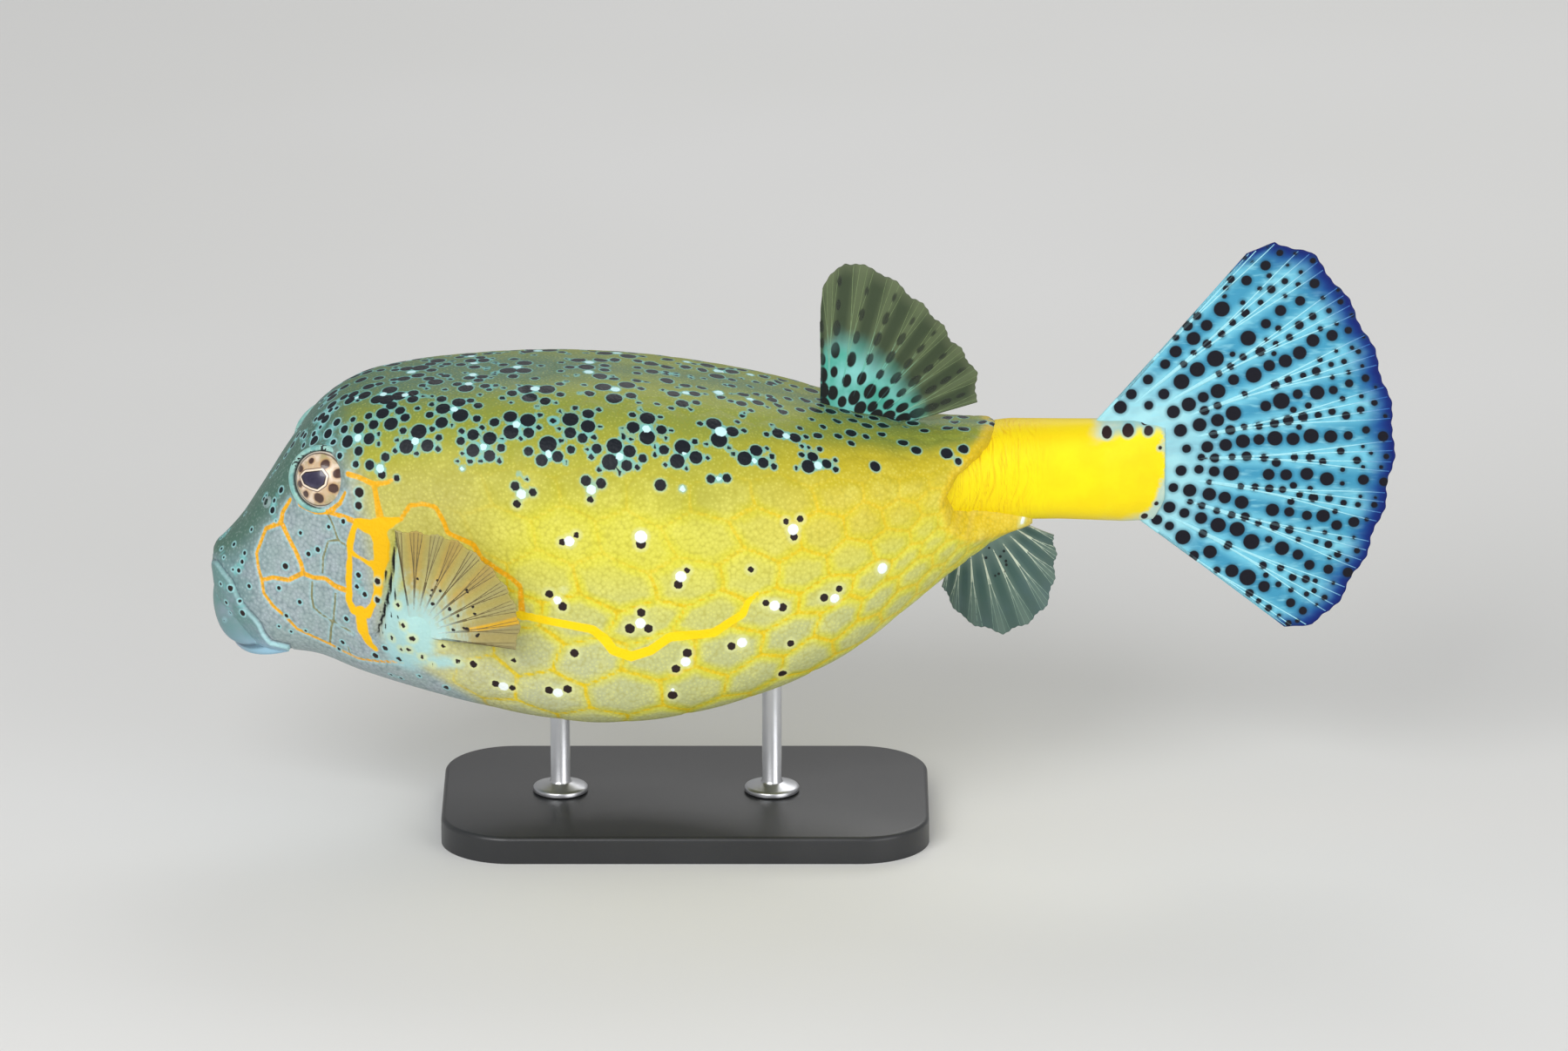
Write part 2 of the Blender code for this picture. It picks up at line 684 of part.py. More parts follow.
def build_tail_fin(name, collection, clear_of):
    """The tail fin, a fan about a point inside the stalk."""
    origin = Vector((TAIL_FIN_ORIGIN[0], 0.0, TAIL_FIN_ORIGIN[1] + LIFT))
    high, low = TAIL_FIN_ANGLES

    def surface(share, out):
        angle = math.radians(high + (low - high) * share)
        length = between(TAIL_FIN_REACH, share) - scallop(share, TAIL_FIN_RAYS, TAIL_FIN_SCALLOP)
        root = min(TAIL_FIN_ROOT, TAIL_FIN_RISE / max(math.sin(angle), 0.01)) - TAIL_FIN_SINK
        radius = root + (length - root) * out
        wave = TAIL_FIN_WAVE * out**2 * math.sin(2 * math.pi * TAIL_FIN_WAVES * share)
        return origin + Vector((radius * math.cos(angle), wave, radius * math.sin(angle)))

    def half(share, out, ridge):
        inset = TAIL_FIN_SWELL_INSET + (1 - 2 * TAIL_FIN_SWELL_INSET) * share
        swell = TAIL_FIN_ROOT_SWELL * (1 - min(out / TAIL_FIN_SWELL_TO, 1.0)) ** 2
        swell *= math.sin(math.pi * inset)
        raised = TAIL_FIN_RIDGE * (1 - RAY_FADE * out) if ridge else 0.0
        return FIN_EDGE_HALF + FIN_ROOT_EXTRA * (1 - out) + swell + raised

    fin = fin_solid(name, collection, TAIL_FIN_RAYS, 4, 5, surface, half)
    combine(fin, clear_of, "DIFFERENCE")
    keep_largest(fin)
    return fin


def build_median_fin(name, collection, size, clear_of):
    """A dorsal or anal fin, whose rays fan from a short base on the body's middle line."""
    middle = Vector((size["origin"][0], 0.0, size["origin"][1] + LIFT))
    first, last = size["angles"]
    base = size["base"]
    base_height = size["base_height"]
    rays = size["rays"]

    def surface(share, out):
        angle = math.radians(first + (last - first) * share)
        root_x = base[0] + (base[1] - base[0]) * share
        root_z = base_height[0] + (base_height[1] - base_height[0]) * share
        root = Vector((root_x, 0.0, root_z + LIFT))
        length = between(size["reach"], share) - scallop(share, rays, MEDIAN_FIN_SCALLOP)
        tip = middle + Vector((length * math.cos(angle), 0.0, length * math.sin(angle)))
        point = root.lerp(tip, out)
        wave = math.sin(2 * math.pi * MEDIAN_FIN_WAVES * share + MEDIAN_FIN_WAVE_START)
        point.y = MEDIAN_FIN_WAVE * out**2 * wave
        return point

    def half(share, out, ridge):
        swell = MEDIAN_FIN_ROOT_SWELL * (1 - min(out / MEDIAN_FIN_SWELL_TO, 1.0)) ** 2
        raised = SMALL_RIDGE * (1 - RAY_FADE * out) if ridge else 0.0
        return FIN_EDGE_HALF + FIN_ROOT_EXTRA * (1 - out) + swell + raised

    fin = fin_solid(name, collection, rays, 2, 4, surface, half)
    combine(fin, clear_of, "DIFFERENCE")
    keep_largest(fin)
    return fin


def build_pectoral(name, collection, body, side, clear_of):
    """A pectoral fin, held out from the flank as a cupped fan."""
    place, height = PECTORAL_ORIGIN
    point, _ = body.side_point(place, height, side)
    origin = point - Vector((0.0, side * PECTORAL_SINK, 0.0))
    first, last = PECTORAL_ANGLES

    def surface(share, out):
        angle = math.radians(first + (last - first) * share)
        length = PECTORAL_LENGTH * between(PECTORAL_REACH, share)
        length -= scallop(share, PECTORAL_RAYS, PECTORAL_SCALLOP)
        radius = PECTORAL_ROOT + (length - PECTORAL_ROOT) * out
        outwards = PECTORAL_SPREAD * radius * (1 - PECTORAL_CUP * out)
        ripple = PECTORAL_RIPPLE * out**2 * math.sin(2 * math.pi * PECTORAL_RIPPLES * share)
        rise = math.sin(PECTORAL_SLOPE) * outwards
        up = (math.sin(angle) * radius + rise) / math.cos(PECTORAL_SLOPE)
        return origin + Vector((radius * math.cos(angle), side * (outwards + ripple), up))

    def half(share, out, ridge):
        swell = PECTORAL_ROOT_SWELL * (1 - min(out / PECTORAL_SWELL_TO, 1.0)) ** 2
        raised = SMALL_RIDGE * (1 - RAY_FADE * out) if ridge else 0.0
        return FIN_EDGE_HALF + swell + raised

    fin = fin_solid(name, collection, PECTORAL_RAYS, 2, 5, surface, half)
    combine(fin, clear_of, "DIFFERENCE")
    keep_largest(fin)
    return fin


def build_lip(name, collection, size, clear_of):
    """A fleshy lip swept round the front of the muzzle."""
    bm = bmesh.new()
    loops = []
    for station in range(LIP_STATIONS + 1):
        turn = math.pi * (station / LIP_STATIONS - 0.5)
        fullness = math.cos(turn * 0.97) ** 0.5
        forward = size["reach"] * math.cos(turn) ** (2 / LIP_SQUARENESS)
        sideways = size["half_span"] * abs(math.sin(turn)) ** (2 / LIP_SQUARENESS)
        middle = Vector((
            size["corner"] - forward,
            math.copysign(sideways, turn),
            size["corner_height"] + (size["front_height"] - size["corner_height"]) * math.cos(turn) + LIFT,
        ))
        outward = Vector((-math.cos(turn), math.sin(turn), 0.0))
        upright = Vector((size["lean"] * -math.cos(turn), 0.0, 1.0)).normalized()
        loop = []
        for side in range(LIP_SIDES):
            angle = 2 * math.pi * side / LIP_SIDES
            thick = size["half_thickness"] * fullness * math.cos(angle)
            tall = size["half_height"] * fullness * math.sin(angle)
            loop.append(bm.verts.new(middle + outward * thick + upright * tall))
        loops.append(loop)
    for here, following in zip(loops, loops[1:]):
        for side in range(LIP_SIDES):
            after = (side + 1) % LIP_SIDES
            bm.faces.new([here[side], here[after], following[after], following[side]])
    bm.faces.new(loops[0])
    bm.faces.new(loops[-1])
    lip = object_from_bmesh(bm, name, collection)
    for cutter in clear_of:
        combine(lip, cutter, "DIFFERENCE")
    keep_largest(lip)
    return lip


def build_base(name, collection):
    """The stand's flat base, a plate with round corners and an eased edge."""
    bm = bmesh.new()
    corners = []
    for sign_x, sign_y, start in ((1, 1, 0), (-1, 1, 90), (-1, -1, 180), (1, -1, 270)):
        for step in range(7):
            angle = math.radians(start + 15 * step)
            x = STAND_MIDDLE + sign_x * (BASE_HALF_LENGTH - BASE_CORNER) + BASE_CORNER * math.cos(angle)
            y = sign_y * (BASE_HALF_WIDTH - BASE_CORNER) + BASE_CORNER * math.sin(angle)
            corners.append(bm.verts.new((x, y, 0.0)))
    face = bm.faces.new(corners)
    grown = bmesh.ops.extrude_face_region(bm, geom=[face])
    moved = [item for item in grown["geom"] if isinstance(item, bmesh.types.BMVert)]
    bmesh.ops.translate(bm, verts=moved, vec=(0.0, 0.0, BASE_HEIGHT))
    base = object_from_bmesh(bm, name, collection)
    bevel = base.modifiers.new("eased_edge", "BEVEL")
    bevel.width = BASE_BEVEL
    bevel.segments = 2
    bevel.limit_method = "ANGLE"
    return base


def build_rod(name, collection, place, clear_of):
    """A turned rod with a flat foot, its top cut to the belly's shape."""
    foot = BASE_HEIGHT + GAP
    top = LIFT + ROD_RISE
    profile = [
        (0.0, top),
        (ROD_RADIUS, top),
        (ROD_RADIUS, foot + ROD_FOOT_HEIGHT),
        (ROD_FOOT_RADIUS, foot + ROD_FOOT_HEIGHT * 0.6),
        (ROD_FOOT_RADIUS, foot),
        (0.0, foot),
    ]
    mesh = bpy.data.meshes.new(name)
    edges = [(index, index + 1) for index in range(len(profile) - 1)]
    mesh.from_pydata([(x, 0.0, z) for x, z in profile], edges, [])
    rod = bpy.data.objects.new(name, mesh)
    collection.objects.link(rod)
    screw = rod.modifiers.new("turn", "SCREW")
    screw.steps = 24
    screw.render_steps = 24
    screw.use_merge_vertices = True
    screw.merge_threshold = 0.00005
    bpy.context.view_layer.update()
    evaluated = rod.evaluated_get(bpy.context.evaluated_depsgraph_get())
    turned = bpy.data.meshes.new_from_object(evaluated)
    rod.modifiers.clear()
    rod.data = turned
    bm = bmesh.new()
    bm.from_mesh(rod.data)
    bmesh.ops.remove_doubles(bm, verts=bm.verts, dist=0.00005)
    bmesh.ops.translate(bm, verts=bm.verts, vec=(place, 0.0, 0.0))
    bpy.data.objects.remove(rod)
    rod = object_from_bmesh(bm, name, collection)
    combine(rod, clear_of, "DIFFERENCE")
    keep_largest(rod)
    return rod


def build_fish(nodes, cutters):
    """Every node of the fish, and the inflated body that its neighbours are cut with."""
    body = Body()
    whole = plated_body(body, cutters)
    clearance = inflated(whole, "body_clearance", cutters)
    built = {}
    for label, side in (("left", -1), ("right", 1)):
        built["eye_" + label] = build_eye(body, "eye_" + label, side, nodes, cutters, whole)
        cut_nostril(body, side, cutters, whole)
        cut_gill(body, side, cutters, whole)
    prism = opening_prism("opening", cutters, 0.0)
    stalk_space = opening_prism("opening_for_stalk", cutters, 1.2 * GAP)
    combine(whole, prism, "DIFFERENCE")
    keep_largest(whole)

    middle, down = gill_line()
    across = Vector((-down.z, 0.0, down.x)).normalized()
    if across.x < 0:
        across = -across
    ahead = middle - across * GAP / 2
    behind = middle + across * GAP / 2
    built["head"] = parted(whole, "head", nodes, cutters, ahead, across)
    built["carapace"] = parted(whole, "carapace", nodes, cutters, behind, -across)

    upper = build_lip("upper_lip", nodes, UPPER_LIP, [clearance])
    upper_clearance = inflated(upper, "upper_lip_clearance", cutters)
    built["upper_lip"] = upper
    built["lower_lip"] = build_lip("lower_lip", nodes, LOWER_LIP, [clearance, upper_clearance])

    stalk = build_stalk("tail_stalk", nodes, stalk_space)
    stalk_clearance = inflated(stalk, "tail_stalk_clearance", cutters)
    built["tail_stalk"] = stalk
    built["caudal_fin"] = build_tail_fin("caudal_fin", nodes, stalk_clearance)
    for name, size in MEDIAN_FINS.items():
        built[name] = build_median_fin(name, nodes, size, clearance)
    for label, side in (("left", -1), ("right", 1)):
        name = "pectoral_fin_" + label
        built[name] = build_pectoral(name, nodes, body, side, clearance)
    return built, clearance


def main():
    for obj in list(bpy.data.objects):
        bpy.data.objects.remove(obj)
    nodes = make_collection("yellow_boxfish")
    cutters = make_collection("cutters")
    built, clearance = build_fish(nodes, cutters)
    built["stand_base"] = build_base("stand_base", nodes)
    for name, place in ROD_PLACES.items():
        built[name] = build_rod(name, nodes, place, clearance)

    finishes = {
        "head": ((0.42, 0.48, 0.46), 0.45),
        "carapace": ((0.62, 0.60, 0.12), 0.45),
        "tail_stalk": ((0.90, 0.72, 0.02), 0.45),
        "upper_lip": ((0.36, 0.58, 0.66), 0.40),
        "lower_lip": ((0.45, 0.66, 0.74), 0.40),
        "eye": ((0.62, 0.52, 0.34), 0.15),
        "caudal_fin": ((0.16, 0.36, 0.52), 0.40),
        "dorsal_fin": ((0.20, 0.34, 0.24), 0.40),
        "anal_fin": ((0.34, 0.42, 0.36), 0.40),
        "pectoral": ((0.55, 0.50, 0.34), 0.40),
        "stand_base": ((0.05, 0.05, 0.055), 0.35),
        "stand_rod": ((0.62, 0.62, 0.64), 0.25),
    }
    for name, obj in built.items():
        key = next(prefix for prefix in finishes if name.startswith(prefix))
        colour, roughness = finishes[key]
        metallic = 1.0 if key == "stand_rod" else 0.0
        obj.data.materials.clear()
        obj.data.materials.append(make_material(name, colour, roughness, metallic))
    for obj in cutters.objects:
        obj.hide_render = True
        obj.display_type = "WIRE"


main()
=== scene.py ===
# Yellow boxfish, life size, dressed over its solids. Metres, snout at -X, left side at -Y.
import math

import bmesh
import bpy
import numpy as np
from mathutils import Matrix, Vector
from mathutils.kdtree import KDTree


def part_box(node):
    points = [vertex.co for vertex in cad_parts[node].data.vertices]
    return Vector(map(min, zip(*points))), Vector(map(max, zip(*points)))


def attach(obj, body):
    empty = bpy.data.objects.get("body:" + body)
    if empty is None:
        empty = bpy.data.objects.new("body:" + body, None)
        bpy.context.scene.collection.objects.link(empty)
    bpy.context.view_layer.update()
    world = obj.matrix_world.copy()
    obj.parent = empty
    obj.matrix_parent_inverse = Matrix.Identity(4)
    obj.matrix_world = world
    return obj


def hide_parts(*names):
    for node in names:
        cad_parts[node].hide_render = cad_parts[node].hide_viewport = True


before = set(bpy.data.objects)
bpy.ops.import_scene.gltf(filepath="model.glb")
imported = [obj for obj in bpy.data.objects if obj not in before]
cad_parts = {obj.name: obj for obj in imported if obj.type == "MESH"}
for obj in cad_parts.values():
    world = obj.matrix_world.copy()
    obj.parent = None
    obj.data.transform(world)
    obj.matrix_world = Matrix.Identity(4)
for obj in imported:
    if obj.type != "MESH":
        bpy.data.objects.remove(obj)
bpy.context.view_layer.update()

mm = 0.001
lift = 0.034  # the belly's lowest point over the floor
picture = {  # how a place in the photo, in its pixels, reads on the fish
    "middle": 922.0,  # column of the fish's own middle
    "bellyRow": 826.0,
    "pixel": 0.2209 * mm,
    "drop": 7.0 * mm,
    "elevation": math.radians(18.0),
    "grazing": 0.04,  # skin that faces the camera less than this takes no marks
}
randomSeed = 11
farOff = 6.0  # mm, where the distances to the marks are cut off


def fade(values, low, high):
    share = np.clip((values - low) / (high - low), 0.0, 1.0)
    return share * share * (3 - 2 * share)


def rgb(*screen):  # from 0-255 screen values to the linear values that shaders take
    shares = [value / 255 for value in screen]
    return (*(c / 12.92 if c <= 0.04045 else ((c + 0.055) / 1.055) ** 2.4 for c in shares), 1.0)


# Node graphs: a Wire is a socket that Python's operators add Math nodes to
class Wire:
    def __init__(self, graph, socket):
        self.graph = graph
        self.socket = socket

    def math(self, operation, *others):
        return self.graph.node("ShaderNodeMath", {"operation": operation}, [self, *others])

    def __add__(self, other):
        return self.math("ADD", other)

    def __radd__(self, other):
        return self.math("ADD", other)

    def __sub__(self, other):
        return self.math("SUBTRACT", other)

    def __rsub__(self, other):
        return self.graph.node("ShaderNodeMath", {"operation": "SUBTRACT"}, [other, self])

    def __mul__(self, other):
        return self.math("MULTIPLY", other)

    def __truediv__(self, other):
        return self.math("DIVIDE", other)

    def least(self, other):
        return self.math("MINIMUM", other)

    def most(self, other):
        return self.math("MAXIMUM", other)

    def size(self):
        return self.math("ABSOLUTE")

    def rise(self, low, high):  # 0 below low, 1 above high, smooth between
        settings = {"interpolation_type": "SMOOTHSTEP"}
        return self.graph.node("ShaderNodeMapRange", settings, [self, low, high, 0.0, 1.0])

    def fall(self, low, high):
        return 1 - self.rise(low, high)


class Graph:
    def __init__(self, tree):
        self.tree = tree

    def node(self, kind, settings=None, inputs=(), output=0):
        made = self.tree.nodes.new(kind)
        for key, value in (settings or {}).items():
            setattr(made, key, value)
        for key, value in inputs.items() if isinstance(inputs, dict) else enumerate(inputs):
            if isinstance(value, Wire):
                self.tree.links.new(value.socket, made.inputs[key])
            else:
                made.inputs[key].default_value = value
        return Wire(self, made.outputs[output])


class Paint(Graph):  # one material, whose colours are laid one over another
    def __init__(self, name, **constants):
        self.material = bpy.data.materials.new(name)
        self.material.use_nodes = True
        super().__init__(self.material.node_tree)
        self.shader = self.tree.nodes["Principled BSDF"]
        for socket, value in constants.items():
            self.shader.inputs[socket.replace("_", " ")].default_value = value

    def read(self, *names):
        wires = [self.node("ShaderNodeAttribute", {"attribute_name": name}, output="Fac") for name in names]
        return wires if len(wires) > 1 else wires[0]

    def place(self):
        return self.node("ShaderNodeTexCoord", output="Object")

    def axes(self):  # where a point lies along X and Z, in mm
        return [self.node("ShaderNodeSeparateXYZ", {}, [self.place()], axis) / mm for axis in "XZ"]

    def stretched(self, *scale):
        return self.node("ShaderNodeMapping", inputs={"Vector": self.place(), "Scale": scale})

    def grain(self, scale, detail=3.0, where=None):
        inputs = {"Vector": where or self.place(), "Scale": scale, "Detail": detail, "Roughness": 0.55}
        return self.node("ShaderNodeTexNoise", {}, inputs)

    def noises(self, fineScale, broadScale, detail=3.0):  # a fine and a broad noise, and both centred on 0
        fine, broad = self.grain(fineScale, detail), self.grain(broadScale)
        return fine, broad, fine - 0.5, broad - 0.5

    def mix(self, factor, first, second):
        return self.node("ShaderNodeMix", {"data_type": "RGBA"}, {0: factor, 6: first, 7: second}, 2)

    def lay(self, factor, tint, over=None):  # over the colours laid before, or over the one given
        self.colour = self.mix(factor, over or self.colour, tint)

    def feed(self, roughness, relief=None, depth=0.12, **wires):  # the relief's depth is in mm
        wires.update(Base_Color=self.colour, Roughness=roughness)
        if relief:
            wires["Normal"] = self.node("ShaderNodeBump", {}, {"Height": relief, "Distance": depth * mm})
        for socket, wire in wires.items():
            self.tree.links.new(wire.socket, self.shader.inputs[socket.replace("_", " ")])
        return self.material


def meshPiece(name, points, faces, attributes=None):
    mesh = bpy.data.meshes.new(name)
    mesh.from_pydata(np.asarray(points, float).tolist(), [], faces)
    mesh.update()
    bm = bmesh.new()
    bm.from_mesh(mesh)
    bmesh.ops.recalc_face_normals(bm, faces=bm.faces)
    if bm.calc_volume(signed=True) < 0:
        bmesh.ops.reverse_faces(bm, faces=bm.faces)
    bm.to_mesh(mesh)
    bm.free()
    setAttributes(mesh, attributes or {})
    mesh.shade_smooth()
    return newObject(name, mesh)


def setAttributes(mesh, attributes):
    for label, values in attributes.items():
        layer = mesh.attributes.new(label, "FLOAT", "POINT")
        layer.data.foreach_set("value", np.ravel(values).astype(np.float32))


def newObject(name, data):
    made = bpy.data.objects.new(name, data)
    bpy.context.scene.collection.objects.link(made)
    return made


def finish(piece, material, slot, *nodes):
    piece.data.materials.clear()
    piece.data.materials.append(material)
    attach(piece, "root")
    if nodes:
        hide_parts(*nodes)
    return piece


def tubeFaces(rings, spokes, closed=False):  # closed: the last ring joins the first
    ring, spoke = np.meshgrid(np.arange(rings - (not closed)), np.arange(spokes), indexing="ij")
    here, beyond = ring * spokes, (ring + 1) % rings * spokes
    after = (spoke + 1) % spokes
    quads = [here + spoke, here + after, beyond + after, beyond + spoke]
    return np.stack(quads, axis=-1).reshape(-1, 4).tolist()


def capped(grid):  # a tube's points and faces, closed by a fan at each end
    rings, spokes = len(grid), len(grid[0])
    flat = np.reshape(grid, (-1, 3))
    faces = tubeFaces(rings, spokes)
    base = (rings - 1) * spokes
    for spoke in range(spokes):
        after = (spoke + 1) % spokes
        faces.append([len(flat), after, spoke])
        faces.append([len(flat) + 1, base + spoke, base + after])
    return np.vstack([flat, np.mean(grid[0], axis=0), np.mean(grid[-1], axis=0)]), faces


def tubePiece(name, grid, attributes=None, ends=None):  # ends: the attributes' values at the two poles
    values = {}
    for label, value in (attributes or {}).items():
        value = np.ravel(value)
        values[label] = np.concatenate([value, ends or [value[0], value[-1]]])
    return meshPiece(name, *capped(grid), values)


def placed(x, y, z):  # points from mm, with the belly's lowest point at 0
    return np.stack([x * mm, y * mm, z * mm + lift], axis=-1)


def leftSide(points):  # points with those of the right side mirrored to the left
    return np.stack([points[:, 0], -np.abs(points[:, 1]), points[:, 2]], axis=1)


def spotEdge(x, y, spots, far=farOff):  # distance to the nearest round spot's edge, under 0 inside
    nearest = np.full(x.shape, far)
    for spotX, spotY, radius in spots:
        nearest = np.minimum(nearest, np.hypot(x - spotX, y - spotY) - radius)
    return nearest


def nearestOf(points):  # a tree that finds the nearest of the points
    points = list(points)
    tree = KDTree(len(points))
    for index, point in enumerate(points):
        tree.insert(point, index)
    tree.balance()
    return tree


# The body, from the same sections as the solids
body = {
    "rings": 364,
    "spokes": 274,
    "headRings": 0.42,  # the share of the rings that the head takes
    "headLength": 0.30,  # of the length
    "sections": [  # mm: place, top, underside, widest height, half width, squareness above and below
        (-149.6, 38.6, 33.2, 35.9, 3.5, 2.0, 2.0),
        (-148.6, 40.4, 27.0, 34.5, 7.0, 2.0, 2.2),
        (-146.2, 42.6, 21.0, 33.0, 10.0, 2.1, 2.3),
        (-142.3, 47.0, 16.2, 33.0, 12.8, 2.2, 2.4),
        (-137.4, 54.3, 13.4, 35.0, 16.0, 2.4, 2.7),
        (-129.0, 67.5, 13.4, 39.0, 20.0, 2.5, 3.0),
        (-122.0, 76.6, 12.8, 43.0, 23.4, 2.6, 3.2),
        (-111.8, 82.6, 9.9, 45.0, 29.0, 2.8, 3.6),
        (-99.6, 84.8, 7.3, 44.0, 34.0, 3.0, 4.0),
        (-80.6, 85.9, 3.6, 43.0, 38.0, 3.2, 4.5),
        (-49.0, 85.8, 0.0, 41.0, 40.0, 3.2, 5.0),
        (-14.8, 81.3, 5.4, 43.0, 38.0, 3.1, 4.5),
        (13.5, 74.4, 17.6, 48.0, 31.5, 2.9, 4.0),
        (27.0, 71.8, 27.2, 52.0, 25.0, 2.7, 3.6),
        (40.0, 71.6, 36.6, 56.0, 18.5, 2.5, 3.0),
        (49.0, 72.0, 42.2, 58.0, 14.2, 2.4, 2.6),
        (58.0, 72.4, 45.4, 59.5, 11.4, 2.2, 2.4),
    ],
    "opening": [  # mm: the shell's rear margin, seen from the side
        (49.3, 73.6), (43.5, 68.4), (37.8, 63.7), (34.9, 57.4),
        (36.7, 50.0), (41.7, 46.2), (48.5, 45.5), (58.5, 45.3),
    ],
    "behind": [(90.0, 45.3), (90.0, 90.0), (49.3, 90.0)],  # closes that outline, clear of the shell
    "openingDraw": 0.30,  # how far the skin behind the margin draws in, to hide in the stalk
    "stalkMiddle": 59.4,
    "plateColumns": 16,
    "plateTurns": (  # where each row lies, from the middle of the back to that of the belly, in half girths
        0.0, 0.100, 0.205, 0.265, 0.330, 0.410, 0.493, 0.560, 0.625, 0.705, 0.780, 0.850, 0.925, 1.0,
    ),
    "plateSlip": 0.9,  # how far the rows near slipRow lie behind, in half plates
    "slipRow": 6.2,
    "slipSpread": 1.4,
    "platedFrom": -134.8,
    "platedTo": 52.5,
    "plateWarp": 0.14,  # how unevenly the plates lie, in half plates
    "plateRelief": 0.26,  # mm
    "plateCrown": 0.12,
    "gillDepth": 1.5,
    "gillBank": 0.35,
    "seamDepth": 0.22,  # of the seams on the cheek
    "lipRise": 0.5,  # the fold round the lips, and the groove before it
    "lipGroove": 0.22,
    "headEnds": (-110.0, -101.0),  # mm, where the head's colours give way to the shell's on the flank
    "headLean": 45.0,  # how far that edge leans forward up the back, in mm for a whole girth
    "headUnder": 24.0,  # how far it reaches back under the throat, in mm
    "plain": ((-100.0, -70.0), (44.0, 54.0)),  # mm, where the plates' relief sets in and where it ends
}


def smoothRows(rows, count):
    table = np.array(rows, dtype=float)
    steps = np.linalg.norm(np.diff(table[:, :5], axis=0), axis=1)
    along = np.concatenate([[0.0], np.cumsum(steps)])
    slopes = np.gradient(table, along, axis=0)
    shares = np.interp(np.linspace(0, 1, count), [0, body["headRings"], 1], [0, body["headLength"], 1])
    at = shares * along[-1]
    piece = np.clip(np.searchsorted(along, at) - 1, 0, len(rows) - 2)
    length = along[piece + 1] - along[piece]
    part = ((at - along[piece]) / length)[:, None]
    length = length[:, None]
    start = (1 + 2 * part) * (1 - part) ** 2 * table[piece]
    start += part * (1 - part) ** 2 * length * slopes[piece]
    end = part**2 * (3 - 2 * part) * table[piece + 1]
    end += part**2 * (part - 1) * length * slopes[piece + 1]
    return start + end


def bodySection(row, count):  # even points round a section, from the top down the left side
    place, top, under, middle, halfWidth, upper, lower = row
    turn = np.linspace(0.0, 2 * math.pi, 6 * count + 1)
    sine, cosine = np.sin(turn), np.cos(turn)
    square = np.where(cosine >= 0, upper, lower)
    height = np.where(cosine >= 0, top - middle, middle - under)
    across = -halfWidth * np.sign(sine) * np.abs(sine) ** (2 / square)
    up = middle + height * np.sign(cosine) * np.abs(cosine) ** (2 / square)
    run = np.concatenate([[0.0], np.cumsum(np.hypot(np.diff(across), np.diff(up)))])
    even = np.linspace(0.0, run[-1], count, endpoint=False)
    points = np.stack([np.full(count, place), np.interp(even, run, across), np.interp(even, run, up)], axis=1)
    return points * mm


class Skin:  # the smooth body, and where a place in the photo lies on its left side
    def __init__(self, rings, spokes):
        rows = smoothRows(body["sections"], rings)
        self.grid = np.array([bodySection(row, spokes) for row in rows])
        self.grid[:, :, 2] += lift
        self.spokes = spokes
        self.along = np.gradient(self.grid, axis=0)
        self.around = (np.roll(self.grid, -1, axis=1) - np.roll(self.grid, 1, axis=1)) / 2
        normals = np.cross(self.around, self.along)
        self.normals = normals / np.linalg.norm(normals, axis=2, keepdims=True)
        steps = np.linalg.norm(np.diff(self.grid, axis=0), axis=2).mean(axis=1)
        around = np.linalg.norm(np.roll(self.grid, -1, axis=1) - self.grid, axis=2)
        self.girth = around.sum(axis=1)
        scaled = steps / (0.5 * (self.girth[1:] + self.girth[:-1]))
        self.run = np.concatenate([[0.0], np.cumsum(scaled)])  # lengths in girths, so that plates keep their form
        self.turn = np.arange(spokes) / spokes
        self.flat = self.grid.reshape(-1, 3)
        lean = picture["elevation"]
        toEye = np.array([0.0, -math.cos(lean), math.sin(lean)])
        self.screenUp = np.array([0.0, math.sin(lean), math.cos(lean)])
        self.seen = np.flatnonzero(self.normals.reshape(-1, 3) @ toEye > picture["grazing"])
        self.seenHeight = self.flat[self.seen] @ self.screenUp

    def runAt(self, place):
        return float(np.interp(place, self.grid[:, 0, 0], self.run))

    def photoPoint(self, column, row):
        x = (column - picture["middle"]) * picture["pixel"]
        lifted = lift * math.cos(picture["elevation"])
        up = (picture["bellyRow"] - row) * picture["pixel"] - picture["drop"] + lifted
        gaps = (self.flat[self.seen, 0] - x) ** 2 + (self.seenHeight - up) ** 2
        index = self.seen[int(np.argmin(gaps))]
        start = self.flat[index]
        first = self.along.reshape(-1, 3)[index]
        second = self.around.reshape(-1, 3)[index]
        table = np.array([[first[0], second[0]], [first @ self.screenUp, second @ self.screenUp]])
        want = np.array([x - start[0], up - start @ self.screenUp])
        steps = np.clip(np.linalg.lstsq(table, want, rcond=None)[0], -1.0, 1.0)
        return start + first * steps[0] + second * steps[1]


